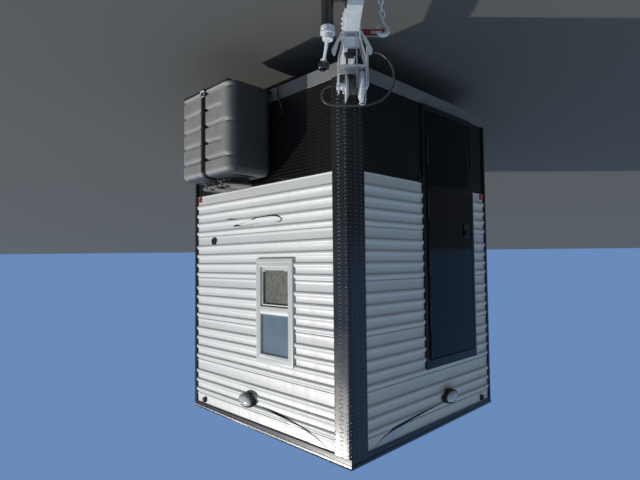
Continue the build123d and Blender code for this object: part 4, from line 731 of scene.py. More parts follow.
# Drip edge along the foot of the siding
drip = Shape()
drip_section = [(out, SIDING_BASE + z)
                for out, z in mm((3, -4), (4.8, -4), (5, 1), (2.8, 5), (2.1, 6), (2.1, -1))]
for wall, a, b in [(wall, wall.first, wall.last) for wall in (NR, RT, LT, RE)] + [
        (NL, NL.first, DOOR_S0), (NL, DOOR_S1, NL.last)]:
    drip.run(wall, a, b, drip_section)
drip.build("siding_foot_trim", "siding_white", smooth=40)


# Windows: frames with a stepped, rounded section
def framed(shape, wall, s0, s1, z0, z1, side, bottom, top, section):
    """A mitred frame whose section is (share of the width, out in millimetres)."""
    shape.loft([[wall.at(s + ds * share, out / 1000, z + dz * share) for share, out in section]
                for s, z, ds, dz in ((s0, z0, side, bottom), (s1, z0, -side, bottom), (s1, z1, -side, -top),
                                     (s0, z1, side, -top))], closed=True)


WINDOW_SIDE = 0.05
WINDOW_BOTTOM = 0.06
WINDOW_TOP = 0.058
WINDOW_OPENING = 0.279
FRAME_SECTION = [(0, 1.5), (0, 16.5), (0.03, 18.6), (0.1, 19.5), (0.46, 19.6), (0.49, 18.4), (0.53, 18.4),
                 (0.56, 19.2), (0.92, 18.8), (0.97, 17.4), (1, 14), (1, -49.5), (0.47, -49.5), (0.47, 1.5)]
vinyl = Shape()
latch = Shape()
beading = Shape()
for wall, s0, s1, z0, z1 in WINDOWS:
    framed(vinyl, wall, s0, s1, z0, z1, WINDOW_SIDE, WINDOW_BOTTOM, WINDOW_TOP, FRAME_SECTION)
    a = s0 + WINDOW_SIDE
    b = s1 - WINDOW_SIDE
    base = z0 + WINDOW_BOTTOM
    top = z1 - WINDOW_TOP
    lower = base + WINDOW_OPENING
    upper = top - WINDOW_OPENING
    rail = [(out, lower + z) for out, z in mm((-49.5, -1), (15, -1), (17.6, 1), (18.6, 6))]
    rail += [(out, upper + z) for out, z in mm((18.6, -10), (17.6, -8), (16.8, -3), (13, -1), (-49.5, -1))]
    vinyl.run(wall, a - 0.002, b + 0.002, rail)
    sill = mm((10.2, -3), (17.5, -10), (17.5, -13), (15, -14), (12, -12))
    vinyl.run(wall, a - 0.01, b + 0.01, [(out, base + z) for out, z in sill])
    framed(beading, wall, a, b, upper, top, 0.003, 0.003, 0.003,
           [(0, 4.2), (0, 9.8), (0.5, 8.6), (1, 5.6), (1, 4.2)])
    framed(beading, wall, a + 0.001, b - 0.012, base, lower - 0.009, 0.007, 0.022, 0.008,
           [(0, 4.2), (0, 9.8), (0.2, 10.6), (0.8, 10.6), (1, 9.4), (1, 4.2)])
    latch.box(wall, b - 0.052, b - 0.012, 0.0044, 0.0105, base + 0.024, base + 0.032)
    latch.box(wall, b - 0.034, b - 0.024, 0.0044, 0.014, base + 0.006, base + 0.034)
    latch.box(wall, a + 0.012, a + 0.04, 0.0044, 0.0105, base + 0.023, base + 0.03)
vinyl.build("window_vinyl_frames", "window_vinyl", "window_frames", smooth=28, bevel=0.0006)
beading.build("window_beading", "window_vinyl", smooth=28)
latch.build("screen_latches", "window_vinyl", bevel=0.0012)

# Gas bottle cover: a moulded shell with stepped bands, its lid, latches and strap
COVER_LENGTH = 0.652
COVER_WIDTH = 0.356
COVER_S = NR.length - 0.4 - COVER_LENGTH / 2
COVER_OUT = 0.382
COVER_O = COVER_OUT - COVER_WIDTH / 2
COVER_LOW = 0.285
COVER_HIGH = 0.899
SHOULDER_IN = 0.046
SHOULDER_RISE = 0.043
GROOVES = [(COVER_LOW + 0.018 + 0.116 * i, 0.075 if i % 2 else -0.01) for i in range(5)]


def rounded_plan(length, width, radius, run, turn=10):
    """Points (s, out) of a rounded oblong about its middle, each with its outward direction."""
    x = length / 2 - radius
    y = width / 2 - radius
    centres = ((x, y), (x, -y), (-x, -y), (-x, y))
    rows = []
    for k, (fx, fy) in enumerate(((0, 1), (1, 0), (0, -1), (-1, 0))):
        (ax, ay), (bx, by) = centres[k - 1], centres[k]
        count = run // 2 if k % 2 else run
        for share in [i / count for i in range(count)]:
            rows.append((ax + fx * radius + (bx - ax) * share, ay + fy * radius + (by - ay) * share, fx, fy))
        for w in [radians(90 - 90 * k - 90 * i / turn) for i in range(turn)]:
            rows.append((bx + radius * cos(w), by + radius * sin(w), cos(w), sin(w)))
    return rows


cover_plan = rounded_plan(COVER_LENGTH, COVER_WIDTH, 0.078, 44)
lid_plan = rounded_plan(0.44, 0.226, 0.1, 20)


def cover_ring(z, inset, depth=0.0, start=0.0):
    """One ring of the shell, with a groove that fades in from its start and isn't on the left end."""
    ring = []
    for s, o, ns, no in cover_plan:
        share = smooth_step((s - start + COVER_LENGTH / 2) / 0.11) if o > 0 else smooth_step(s / 0.06)
        pull = inset + depth * share
        ring.append(NR.at(COVER_S + s - ns * pull, COVER_O + o - no * pull, z))
    return ring


rings = [cover_ring(COVER_LOW + z, inset) for z, inset in mm((0, 16), (3, 6), (8, 1))]
for level, start in GROOVES:
    if level - 0.012 > COVER_LOW + 0.01:
        rings.append(cover_ring(level - 0.03, 0.0))
    rings += [cover_ring(level + z, 0.0, depth, start) for z, depth in mm(
        (-6, 0), (-1, 2.2), (7, 9), (16, 17.5), (22.8, 24), (24.8, 23.6), (26.2, 3), (28.2, 0), (45, 0))]
SHOULDER = [(SHOULDER_IN * (1 - cos(w)), SHOULDER_RISE * sin(w) - SHOULDER_IN)
            for w in [radians(10 * k) for k in range(10)]]
rings += [cover_ring(COVER_HIGH + z, inset) for inset, z in SHOULDER]
rings += [cover_ring(COVER_HIGH - drop, inset) for drop, inset in mm((1.5, 60), (0.5, 80), (0, 100))]
shell = Shape()
shell.loft(rings)
shell.build("gas_cover_shell", "cover_plastic", "tank_cover", smooth=32)

LID_O = COVER_O - 0.034
LID_S = COVER_S + 0.026
LID_Z = COVER_HIGH + 0.014
LID_EDGE = LID_O + 0.113
LID_RINGS = mm((-15, 24), (18, 22), (22, 10), (23.5, 1), (26, 0), (31, 0.5), (36.5, 3), (40.5, 8), (41.8, 15),
               (40.5, 20), (36, 24), (35.2, 34), (37.5, 44), (38.5, 60), (38.8, 90))
lid = Shape()
lid.loft([[NR.at(LID_S + s - ns * inset, LID_O + o - no * inset, LID_Z + z) for s, o, ns, no in lid_plan]
          for z, inset in LID_RINGS])
for ds in (-0.105, 0.105):
    lid.lathe(NR.at(LID_S + ds, LID_O, LID_Z + 0.037), UP, 40,
              (62, 0), (62, 2.2), (58.5, 4), (54, 4), (51, 2.2), (48, 1))
for ds in (-0.035, 0.0, 0.035):
    lid.box(NR, LID_S + ds - 0.004, LID_S + ds + 0.004, LID_O - 0.06, LID_O + 0.06, LID_Z + 0.036,
            LID_Z + 0.0412)
lid.build("gas_cover_lid", "lid_plastic", "tank_lid", smooth=35)


def ribbon(shape, wall, line, s0, s1, thick):
    """A band of even thickness that lies along a line of (out, z) points."""
    rings = []
    for i, (o, z) in enumerate(line):
        before = line[max(0, i - 1)]
        after = line[min(len(line) - 1, i + 1)]
        along = Vector((after[0] - before[0], after[1] - before[1])).normalized()
        top = (o + along.y * thick, z - along.x * thick)
        rings.append([wall.at(s0, o, z), wall.at(s1, o, z), wall.at(s1, *top), wall.at(s0, *top)])
    shape.loft(rings)


STRAP_S0 = COVER_S - 0.016
STRAP_S1 = STRAP_S0 + 0.042
strap_line = [(COVER_OUT, COVER_LOW - 0.006), (COVER_OUT, COVER_HIGH - SHOULDER_IN)]
for w in [radians(90 * k / 8) for k in range(1, 9)]:
    strap_line.append((COVER_OUT - SHOULDER_IN * (1 - cos(w)),
                       COVER_HIGH - SHOULDER_IN + SHOULDER_RISE * sin(w) + 0.001))
strap_line += [(LID_EDGE + o, COVER_HIGH + z)
               for o, z in mm((6, 1), (1.5, 10), (0.5, 44), (-4, 55), (-16, 56.5), (-70, 56))]
strap = Shape()
ribbon(strap, NR, strap_line, STRAP_S0, STRAP_S1, 0.0046)
ribbon(strap, NR, strap_line[:13], STRAP_S0 + 0.014, STRAP_S0 + 0.034, 0.0105)
ribbon(strap, NR, strap_line[:13], STRAP_S0, STRAP_S0 + 0.005, 0.008)
for level, _ in GROOVES:
    strap.box(NR, STRAP_S0 + 0.001, STRAP_S1 - 0.001, COVER_OUT - 0.006, COVER_OUT + 0.0125, level + 0.02,
              level + 0.028)
strap.box(NR, STRAP_S0 + 0.004, STRAP_S1 - 0.004, LID_EDGE - 0.066, LID_EDGE - 0.034, COVER_HIGH + 0.059,
          COVER_HIGH + 0.066)
strap.build("gas_cover_strap", "strap_rubber", "tank_strap", smooth=30, bevel=0.0012)
buckle = Shape()
for s0, s1, out, z0, z1 in mm((-2, 44, 12, 4, 16), (-2, 5, 11, 4, 50), (37, 44, 11, 4, 50),
                              (-2, 44, 12, 40, 50)):
    buckle.box(NR, STRAP_S0 + s0, STRAP_S0 + s1, COVER_OUT + 0.004, COVER_OUT + out, COVER_LOW + z0,
               COVER_LOW + z1)
buckle.build("strap_buckle", "zinc", bevel=0.0012)
latches = Shape()
for s in (COVER_S - 0.07, COVER_S + 0.125):
    clasp = mm((-52, 42), (-10, 42.5), (1, 36), (4, 16), (12, 4.5))
    ribbon(latches, NR, [(LID_EDGE + o, LID_Z + z) for o, z in clasp], s - 0.011, s + 0.011, 0.0042)
    latches.lathe(NR.at(s - 0.024, LID_EDGE + 0.01, LID_Z + 0.009), NR.along, 12,
                  (3, 0), (6.2, 1), (6.2, 47), (3, 48))
    latches.box(NR, s - 0.014, s + 0.014, LID_EDGE - 0.062, LID_EDGE - 0.046, LID_Z + 0.04, LID_Z + 0.0475)
latches.build("lid_latches", "strap_rubber", smooth=35, bevel=0.001)

# Door fixings
door_fixings = Shape()
door_holes = [(s, RAIL_TOP + 0.09 + 0.3 * k) for k in range(7) for s in (DOOR_S0 + 0.011, DOOR_S1 - 0.012)]
door_holes = [(s, z) for s, z in door_holes if z < DOOR_TOP - 0.03]
door_holes += [(DOOR_S0 + 0.06 + 0.3 * k, DOOR_TOP - 0.016) for k in range(3)]
for s, z in door_holes:
    screw(door_fixings, NL, s, 0.018, z, 4.0, 1.6)
door_fixings.build("door_frame_screws", "black_trim", smooth=50)

# Porch lights: a black ring with a frosted dome in it
PORCH_Z = DOOR_TOP + 0.235


def oval_rings(wall, s, z, *rows):
    """Rings of an oval that stands off a wall: (half length, half height, out) in millimetres."""
    return [circle(wall.at(s, out, z), wall.along * a, UP * b, 40) for a, b, out in mm(*rows)]


ring_shape = Shape()
dome = Shape()
for wall, s in ((NL, 1.064), (NR, 0.98)):
    ring_shape.loft(oval_rings(
        wall, s, PORCH_Z, (83.5, 53.5, 2.2), (83.5, 53.5, 15), (82, 52, 21.5), (81.2, 51.2, 33),
        (79.5, 49.5, 40), (76.5, 46.5, 42.2), (72.5, 42.5, 42), (70, 40, 40), (69, 39, 37), (30, 20, 36.8)))
    turns = [radians(90 * k / 8) for k in range(1, 9)]
    dome.loft(oval_rings(wall, s, PORCH_Z, (69, 39, 36.6), (69, 39, 41.2),
                         *[(4 + 65 * cos(w), 3 + 36 * cos(w), 41.2 + 18.6 * sin(w)) for w in turns]))
    for ds in (-0.074, 0.074):
        screw(ring_shape, wall, s + ds, 0.042, PORCH_Z, 2.8, 1.4)
ring_shape.build("porch_light_rings", "black_plastic", "porch_light_bases", smooth=38)
dome.build("porch_light_domes", "lens_clear", "porch_light_lenses", smooth=50)

# Marker lamps and the cable port
OCTAGON = ((-1, -0.7), (-0.7, -1), (0.7, -1), (1, -0.7), (1, 0.7), (0.7, 1), (-0.7, 1), (-1, 0.7))
marker_lens = Shape()
for wall, s in ((NL, NL.length - 0.136), (NR, NR.length - 0.136), (RE, 0.136), (RE, RE.length - 0.136)):
    sizes = mm((10.5, 13.5, 20.5), (10.5, 13.5, 21.2), (8.5, 11.5, 21.9))
    marker_lens.loft([[wall.at(s + ds * half_s, out, SIDING_TOP - 0.033 + dz * half_z) for ds, dz in OCTAGON]
                      for half_s, half_z, out in sizes])
marker_lens.build("marker_lenses", "handle_plastic", smooth=30)
port_ring = Shape()
port_ring.lathe(NR.at(NR.length - 0.273, 0.0022, 1.317), NR.out, 32, (29, 0), (29, 10.5), (27.8, 12.8),
                (26.2, 13.8), (24, 13.8), (22.8, 13), (22.2, 11))
port_ring.build("cable_port_rim", "handle_plastic", smooth=40)


# Stripes: thin vinyl that follows the beads
def surface_out(z):
    """How far the siding's face stands out at a level."""
    best = SHEET
    for (o0, a), (o1, b) in zip(PROFILE, PROFILE[1:]):
        if a <= z <= b and b - a > 0.00005:
            best = max(best, o0 + (o1 - o0) * (z - a) / (b - a))
    return best


def stripe(shape, wall, line, widths, across=15, lift=0.0009):
    """A band of vinyl along a line of (s, z) points, its width given at each."""
    dense = []
    rows = [(*place, width) for place, width in zip(line, widths)]
    for p, q in zip(rows, rows[1:]):
        count = max(2, ceil(sqrt((q[0] - p[0]) ** 2 + (q[1] - p[1]) ** 2) / 0.006))
        dense += [tuple(u + (v - u) * i / count for u, v in zip(p, q)) for i in range(count)]
    dense.append(rows[-1])
    rings = []
    for i, (s, z, width) in enumerate(dense):
        a = dense[max(0, i - 1)]
        b = dense[min(len(dense) - 1, i + 1)]
        run = sqrt((b[0] - a[0]) ** 2 + (b[1] - a[1]) ** 2) or 1.0
        row = []
        for k in range(across):
            t = (k / (across - 1) - 0.5) * width
            level = z + (b[0] - a[0]) / run * t
            row.append((s - (b[1] - a[1]) / run * t, surface_out(level) + lift, level))
        row += [(ss, out - 0.0003, level) for ss, out, level in row[::-1]]
        rings.append([wall.at(*spot) for spot in row])
    shape.loft(rings, folded=True)


def curve_of(*points):
    """A smooth line through (s, z) points in millimetres, made by cutting corners."""
    line = mm(*points)
    for _ in range(3):
        cut = [line[0]]
        for a, b in zip(line, line[1:]):
            cut += [tuple(u * (1 - t) + v * t for u, v in zip(a, b)) for t in (0.25, 0.75)]
        line = cut + [line[-1]]
    return line


def swell(line, widest, at, tail=0.0012):
    """Widths that grow to the widest place and thin out again."""
    shares = [i / (len(line) - 1) for i in range(len(line))]
    return [tail + (widest - tail) * smooth_step(t / at if t < at else (1 - t) / (1 - at)) for t in shares]


dark_vinyl = Shape()
pale_vinyl = Shape()
left_line = curve_of((150, 2690), (180, 2663), (229, 2630), (331, 2588), (459, 2568), (630, 2551),
                     (752, 2540), (948, 2532))
right_line = curve_of((135, 2680), (188, 2640), (256, 2605), (364, 2571), (507, 2543), (661, 2529),
                      (793, 2520), (933, 2522))
for wall, line, widest in ((NL, left_line, 0.021), (NR, right_line, 0.016)):
    kept = [(s, z) for s, z in line if z < SIDING_TOP - 0.008]
    stripe(dark_vinyl, wall, kept, swell(kept, widest, 0.5))
    wing = []
    spread = []
    for s, z in [(s, z) for s, z in kept if s < 0.7]:
        low = z + 0.016
        high = min(low + 0.075 * (1 - (s - 0.15) / 0.55) ** 1.3 + 0.001, SIDING_TOP - 0.004)
        if high > low + 0.0008:
            wing.append((s, (low + high) / 2))
            spread.append(high - low)
    stripe(pale_vinyl, wall, wing, spread, across=29, lift=0.0007)
hook_mark = curve_of((668, 1210.5), (640, 1212), (620.5, 1207.3), (604.5, 1194.6), (620.2, 1177.4),
                     (652.2, 1165.9), (706.7, 1160.3), (785.2, 1162.8), (870, 1166), (914.2, 1173.7))
stripe(dark_vinyl, NR, hook_mark, swell(hook_mark, 0.0125, 0.45, 0.0016))
for widest, at, *mark in ((0.011, 0.5, (870, 1161), (900, 1170), (942, 1177.7)),
                          (0.013, 0.6, (1065, 1219), (1115, 1209), (1145, 1206), (1185, 1212)),
                          (0.009, 0.6, (1105, 1164), (1170, 1156), (1220, 1150), (1270, 1152)),
                          (0.003, 0.8, (860, 1205), (950, 1212), (1010, 1215), (1090, 1218)),
                          (0.0026, 0.8, (930, 1175), (1037.6, 1189.1), (1101.7, 1201), (1150, 1208))):
    mark = curve_of(*mark)
    stripe(dark_vinyl, NR, mark, swell(mark, widest, at, 0.0008))
dark_vinyl.build("dark_stripes", "handle_plastic", smooth=60, mat="stripe_dark")
pale_vinyl.build("pale_stripes", "handle_plastic", smooth=60, mat="stripe_pale")

# Winch: toothed gear, dished flanges, wound cable, nuts, pawl and bolts
HUB = vec(0, NOSE_Y - 0.474, 0.617)
GEAR_R = 0.077
MODULE = 2 * GEAR_R / 46
TOOTH = 2.1 * MODULE
PINION_DROP = 0.048
PINION_AHEAD = sqrt((GEAR_R + MODULE * 5.5 - 2 * MODULE + 0.0015) ** 2 - PINION_DROP ** 2)
MESH_TURN = atan2(-PINION_DROP, PINION_AHEAD)


def by_hub(x, y, z):
    """A place given from the middle of the winch's axle."""
    return HUB + vec(x, y, z)


def toothed(shape, teeth, radius, x0, x1, ease=0.0009):
    """A spur wheel along X with eased tooth ends."""
    def ring(x, less):
        flank = [(0.4, TOOTH), (0.3, TOOTH * 0.86), (0.17, less + 0.0006), (0.1, less)]
        tooth = [(-share, cut) for share, cut in flank] + flank[::-1]
        turns = [(MESH_TURN + 2 * pi * (i + share) / teeth, radius - cut)
                 for i in range(teeth) for share, cut in tooth]
        return [by_hub(x, r * cos(w), r * sin(w)) for w, r in turns]
    shape.loft([ring(x0, ease * 1.6), ring(x0 + ease, 0.0), ring(x1 - ease, 0.0), ring(x1, ease * 1.6)])


wheel = Shape()
toothed(wheel, 44, GEAR_R, -0.057, -0.041)
wheel.lathe(HUB, RIGHT, 32, (20, -58.5), (24, -58), (24.5, -57), (10, -56.5))
wheel.lathe(HUB, RIGHT, 56, (10, -42), (68, -41.5), (68.9, -40.5), (68.2, -39.2), (56, -33.8), (43, -29.6),
            (40, -29), (10, -28.8))
wheel.lathe(HUB, RIGHT, 28, (22, -30), (22, 19))
wheel.lathe(HUB, RIGHT, 56, (10, 17.8), (40, 18), (44, 18.8), (60, 24.6), (73.5, 29.8), (76.2, 30.6),
            (77, 32.2), (76.4, 33.6), (74, 34), (70, 32.6), (56, 27.2), (42, 22.2), (30, 21.4), (26, 22.2),
            (24, 26), (15, 26.4), (10, 26.6))
wheel.lathe(HUB, RIGHT, 24, (12.5, 25), (13.2, 25.8), (13.2, 63), (12, 64), (8, 64.5))
wheel.lathe(HUB, RIGHT, 20, (6, -79), (8, -78.2), (8, 78.2), (6, 79))
for x in (-0.0775, 0.07):
    wheel.prism(circle(by_hub(x, 0, 0), vec(0, 0.013, 0), UP * 0.013, 6), RIGHT * 0.0075)
for place in arc(by_hub(0.0222, 0, 0), vec(0, 0.031, 0), UP * 0.031, 45, 315, 3):
    wheel.lathe(place, RIGHT, 12, (4.2, 0), (4.2, 1.6), (3, 2.4), (1, 2.6))
wheel.build("winch_wheel", "zinc", "winch_drum", smooth=32, bevel=0.00025, segments=1)

COIL = 3.8
rows = [(22.5, -28.9)]
for index, top in enumerate((38.8, 37.4, 39, 38, 36.8, 38.6)):
    start = -28.8 + 2 * COIL * index
    for w in [pi * k / 8 for k in range(1, 8)]:
        rows.append((top - COIL + COIL * sin(w), start + COIL * (1 - cos(w))))
wound = Shape()
wound.lathe(HUB, RIGHT, 48, *rows, (22.5, 17.8))
wound.build("wound_cable", "wire_rope", "winch_cable", smooth=45, mat="oiled_rope")
taut = Shape()
taut.tube([vec(-0.023, HUB.y - 0.035 + ahead, z) for ahead, z in (
    (0, RAIL_TOP + 0.0005), (0, 0.45), (0, 0.55), (0, HUB.z - 0.01), (0.0006, HUB.z + 0.006),
    (0.003, HUB.z + 0.014))], 0.0033, 12)
taut.build("taut_cable", "wire_rope", smooth=45)

winch_bolts = Shape()
for sign in (1, -1):
    for y, z in ((-0.028, 0.276), (-0.028, 0.324), (0.022, 0.276), (0.022, 0.324)):
        hex_bolt(winch_bolts, vec(sign * 0.044, HUB.y + y, z), RIGHT * sign, 7.5, 6.5, 10.5)
    for y in (0.028, -0.03):
        hex_bolt(winch_bolts, vec(sign * 0.05, HUB.y + y, 0.529), UP, 6.2, 5.0, 9.0)
    winch_bolts.lathe(by_hub(sign * 0.07, PINION_AHEAD, -PINION_DROP), RIGHT * sign, 24,
                      (16, -0.4), (16, 1.2), (15, 1.8), (9.5, 1.8))
for sign in (1, -1):
    flange = mm((98, 464), (91, 473), (84, 470), (62, 394), (62, 374), (70, 380), (102, 444))
    winch_bolts.prism([vec(sign * x, HUB.y - 0.0455, z) for x, z in flange], vec(0, 0.0035, 0))
PAWL = by_hub(0, -GEAR_R / 3, 0.008)
hex_bolt(winch_bolts, PAWL + RIGHT * 0.07, RIGHT, 9.0, 7.5, 11.5)
winch_bolts.tube([PAWL + vec(0.044, 0.0062 * cos(1.9 * k), 0.002 + 0.0046 * k) for k in range(7)], 0.0016, 8)
winch_bolts.build("winch_bolts", "zinc", smooth=35)

# Hook, safety chain and its red keeper
LINK_BAR = 0.0043
LINK_TURN = 0.0105
LINK_HALF = 0.0079
hook_middle = vec(-0.16, HUB.y, 0.3223)
eye = hook_middle - UP * 0.058
links = sorted(islands("safety_chain"), key=lambda points: -middle(points)[0].y)
centres = [middle(points)[0] for points in links]
curl = arc(hook_middle, RIGHT * 0.027, UP * 0.027, -50, 190, 30)
curl += [curl[-1] + (eye + UP * 0.017 - curl[-1]) * share for share in (0.35, 0.7, 1.0)]
thick = [0.006, 0.007, 0.0084, 0.0096, 0.0106] + [0.0114] * 4 + [0.012] * 14 + [0.0114] * 4
thick += [max(0.006, 0.0104 - 0.0008 * k) for k in range(len(curl) - len(thick))]
ring_side = (eye - centres[-1]).cross(UP).cross(UP).normalized()
forged = Shape()
forged.tube(curl, thick, 16)
forged.tube(arc(eye, ring_side * 0.014, UP * 0.014, 0, 348, 29), 0.0038, 12, closed=True)
forged.build("hook_forged", "zinc", "chain_hook", smooth=50)

chain = Shape()
count = len(links) - 1
for i in range(count):
    along = (centres[min(count - 1, i + 1)] - centres[max(0, i - 1)]).normalized()
    side = along.cross(UP).normalized()
    flat = side if i % 2 == 1 else along.cross(side)
    across = flat.cross(along).normalized() * LINK_TURN
    ring = arc(centres[i] + along * LINK_HALF, along * LINK_TURN, across, 90, -90, 9)
    ring += arc(centres[i] - along * LINK_HALF, along * LINK_TURN, across, -90, -270, 9)
    chain.tube(ring, LINK_BAR, 10, closed=True)
_, end_low, end_high = middle(links[-1])
end_ring = vec(end_low.x, end_high.y - 0.017, (end_low.z + end_high.z) / 2)
chain.tube(arc(end_ring + RIGHT * 0.004, vec(0, 0.0135, 0), UP * 0.0135, 0, 348, 29), 0.0039, 12, closed=True)
chain.prism([end_ring + vec(0.001, y, z) for y, z in mm((-17, -8), (-12, -8), (-12, 8), (-17, 8))],
            RIGHT * (-0.039 - end_low.x))
chain.build("safety_chain_links", "zinc", "safety_chain", smooth=55)

red = Shape()
red.prism([vec(x, HUB.y + y, 0.3335) for x, y in mm((-98, -24), (-52, -27), (-52, 27), (-98, 24))],
          UP * 0.0035)
red.tube([vec(-0.075, HUB.y + y, 0.339) for y in (-0.026, 0.026)], 0.0032, 10)
red.build("keeper_plate", "latch_red", smooth=40, bevel=0.0008)

# Tongue jack: tube, collar and cap, and its crank
JACK = vec(0.125, NOSE_Y - 0.784, 0)
jack = Shape()
jack.lathe(JACK, UP, 40, (24, 150), (28, 150), (28.7, 153), (28.5, 156), (28.5, 466.2), (24, 466.8))
jack.prism([vec(x, JACK.y - 0.06, RAIL_TOP + z) for x, z in mm((38, -100), (46, -100), (46, 0), (38, 0))],
           vec(0, 0.12, 0))
for z in (RAIL_TOP - 0.09, RAIL_TOP - 0.018):
    clamp = [(0.046, -0.024), (0.125, -0.024)]
    clamp += [(0.125 + 0.018 * sin(radians(a)), -0.024 * cos(radians(a))) for a in (30, 60, 90, 120, 150)]
    clamp += [(0.125, 0.024), (0.046, 0.024)]
    jack.prism([vec(x, JACK.y + y, z) for x, y in clamp], UP * 0.008)
jack.build("jack_body", "jack_paint", "jack_tube", smooth=35, bevel=0.0008)
head = Shape()
head.lathe(JACK, UP, 44, (28, 465.5), (30, 466.2), (30.2, 469), (29.6, 470), (29.6, 473), (30.6, 474.5),
           (30.6, 481.5), (29.6, 483), (30, 485.5), (32.5, 486.6), (32.9, 489), (32.9, 495.5), (31.8, 498.5),
           (29, 499.8), (14, 500.2), (11, 500.8), (6, 500.9))
for turn in [radians(-80 + 120 * k) for k in range(3)]:
    facing = vec(cos(turn), sin(turn), 0)
    hex_bolt(head, JACK + facing * 0.03 + UP * 0.478, facing, 3.6, 3.0, 4.8)
head.lathe(JACK, UP, 24, (9, 500), (9, 524.5), (7.8, 525.5), (3, 525.8))
head.build("jack_head", "zinc", smooth=40)
KNOB = vec(0.143, JACK.y + sqrt(0.173 ** 2 - 0.018 ** 2), 0.545)
crank = Shape()
crank.lathe(JACK, UP, 36, (9.2, 501), (22.5, 501), (24, 502.2), (24, 522.5), (22.5, 524.8), (14, 525),
            (9.2, 524.6))
start = JACK + UP * 0.513
arm_path = [start + (KNOB - start) * (k / 12) + UP * (0.003 * sin(pi * k / 12)) for k in range(13)]
crank.tube(arm_path, [0.0098, 0.0096, 0.0092, 0.0086, 0.008] + [0.0075] * 8, 16)
crank.lathe(KNOB - UP * 0.014, UP, 28, (8, 0), (12.5, 0.4), (14, 2.2), (14, 14))
crank.build("jack_crank_arm", "zinc", "jack_crank", body="jack_crank", smooth=45)
knob = Shape()
knob.lathe(KNOB, UP, 40, (10, -0.5), (16, 0), (20.5, 3.5), (24.4, 9.5), (27, 17), (28, 24), (27.6, 30.5),
           (25.8, 35.2), (23.8, 37.4), (22.2, 37.6), (20.6, 35.6), (19.6, 30), (19, 22.5), (6, 22))
knob.build("crank_cup", "zinc", body="jack_crank", smooth=45, mat="dark_chrome")

# Wheels: tread, side walls, wheel nuts and caps
WHEEL_X = HALF - 0.02 - 0.1025
AXLE_Y = middle(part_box("tyres"))[0].y
SIDE_WALL = [(190, -70), (205, -88), (225, -96.5), (262, -101.8), (290, -101), (312, -96), (323.5, -89),
             (336, -78), (341.2, -62)]
GROOVE = [(343.2, -6), (343.5, -5.5), (334.5, -3.5), (334.5, 3.5), (343.5, 5.5)]
tread = Shape()
nuts = Shape()
for sign in (1, -1):
    out = RIGHT * sign
    wheel_hub = vec(sign * WHEEL_X, AXLE_Y, 0.344)
    grooves = [(r, x + dx) for x in (-45, -15, 15, 45) for r, dx in GROOVE]
    tread.lathe(wheel_hub, out, 96, *SIDE_WALL, *grooves, *[(r, -x) for r, x in SIDE_WALL[::-1]])
    for turn in [2 * pi * (k + 0.5) / 8 for k in range(8)]:
        hex_bolt(nuts, wheel_hub + out * 0.024 + vec(0, cos(turn), sin(turn)) * 0.072, out, 10, 16, 13)
    nuts.lathe(wheel_hub + out * 0.059, out, 32, (30, 0), (35, 1), (34, 8), (29, 12), (18, 13.8), (4, 14))
tread.build("tyre_treads", "tyre", "tyres", smooth=28)
nuts.build("wheel_nuts", "zinc", smooth=35)

# Camera
PITCH = radians(2.71)
ROLL = radians(-0.56)
YAW = radians(-0.27)
level_right = vec(cos(YAW), sin(YAW), 0)
level_ahead = vec(-sin(YAW), cos(YAW), 0)
ahead = level_ahead * cos(PITCH) - UP * sin(PITCH)
raised_up = UP * cos(PITCH) + level_ahead * sin(PITCH)
shot_right = level_right * cos(ROLL) + raised_up * sin(ROLL)
shot_up = raised_up * cos(ROLL) - level_right * sin(ROLL)
camera = bpy.data.objects.new("camera", bpy.data.cameras.new("camera"))
camera.data.lens = 26.0
camera.data.sensor_width = 36.0
camera.data.clip_end = 300.0
turn = Matrix((-shot_right, -shot_up, -ahead)).transposed()
camera.matrix_world = Matrix.Translation((0.158, SHOULDER_Y - 3.96, 1.493)) @ turn.to_4x4()
bpy.context.collection.objects.link(camera)
bpy.context.scene.camera = camera

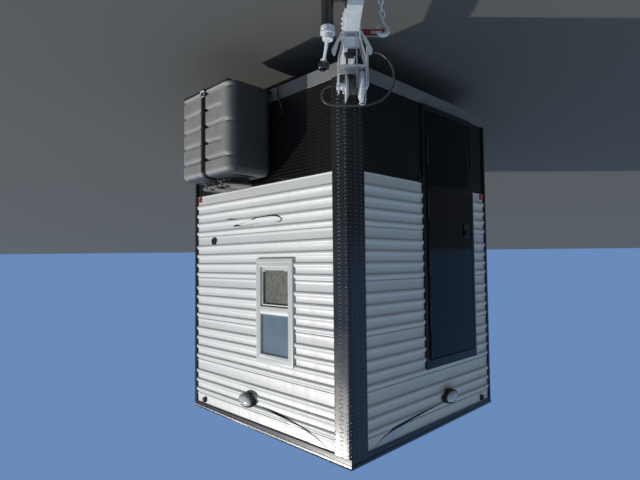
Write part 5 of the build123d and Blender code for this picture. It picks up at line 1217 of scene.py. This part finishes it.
# Wiring cable: millimetres, with y from the nose towards the tongue's end
RAIL = RAIL_TOP * 1000
WIRE_ROUTE = [(12, 274, RAIL + 22), (12, 274, 412), (18, 286, 455), (38, 316, 505), (66, 346, 545),
              (97, 369, 570), (133, 382, 580), (154, 390, 610), (153, 396, 647), (129, 402, 676),
              (93, 406, 684), (30, 409, 688), (-36, 408, 689), (-98, 402, 682), (-155, 392, 658),
              (-200, 382, 618), (-227, 372, 565), (-233, 360, 508), (-222, 348, 448), (-190, 338, 400),
              (-148, 334, RAIL + 22), (-108, 334, RAIL + 22)]
wire_points = [vec(x / 1000, NOSE_Y - y / 1000, z / 1000) for x, y, z in WIRE_ROUTE]
curve = bpy.data.curves.new("wiring_lead", "CURVE")
curve.dimensions = "3D"
spline = curve.splines.new("NURBS")
spline.points.add(len(wire_points) - 1)
for point, place in zip(spline.points, wire_points):
    point.co = (*place, 1.0)
spline.order_u = 3
spline.use_endpoint_u = True
spline.resolution_u = 8
curve.bevel_depth = 0.006
curve.bevel_resolution = 4
curve.use_fill_caps = True
curve.materials.append(M["hose_rubber"])
wire = bpy.data.objects.new("wiring_lead", curve)
bpy.context.collection.objects.link(wire)
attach(wire, "hut")
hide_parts("wiring_cable")

# Stage and light: a grey floor, a blue sky and a low sun from the side, as in the photograph
FLOOR_HALF = 60
mesh = bpy.data.meshes.new("floor")
mesh.from_pydata([(x * FLOOR_HALF, y * FLOOR_HALF, 0) for x, y in ((-1, -1), (1, -1), (1, 1), (-1, 1))], [],
                 [(0, 1, 2, 3)])
ground = bpy.data.objects.new("floor", mesh)
bpy.context.collection.objects.link(ground)
Graph("floor_grey").finish((0.13, 0.127, 0.12, 1), 0.95)
mesh.materials.append(M["floor_grey"])

g = Graph("sky", bpy.data.worlds)
rays = g.node("LightPath").outputs
direct = g.math("MAXIMUM", rays["Is Camera Ray"], rays["Is Transmission Ray"])
seen = g.math("MAXIMUM", direct, rays["Is Glossy Ray"])
lit = g.nodes["Background"]
g.put(lit.inputs["Color"], (0.62, 0.8, 1.0, 1))
g.put(lit.inputs["Strength"], g.remap(g.level(g.heading), -0.05, 0.8, 0.03, 0.6))
shown = g.node("Background", {"Color": (0.14, 0.26, 0.5, 1), "Strength": 1.0})
mixed = g.node("MixShader", {0: seen, 1: lit.outputs[0], 2: shown.outputs[0]})
g.put(g.nodes["World Output"].inputs["Surface"], mixed.outputs[0])
bpy.context.scene.world = g.block

sun = bpy.data.lights.new("sun", "SUN")
sun.energy = 2.38
sun.angle = radians(1.0)
sun.color = (1.0, 0.955, 0.88)
sun_lamp = bpy.data.objects.new("sun", sun)
sun_lamp.rotation_euler = vec(-0.9, 0.03, -0.434).to_track_quat("-Z", "Y").to_euler()
bpy.context.collection.objects.link(sun_lamp)
bpy.context.scene.view_settings.view_transform = "Standard"
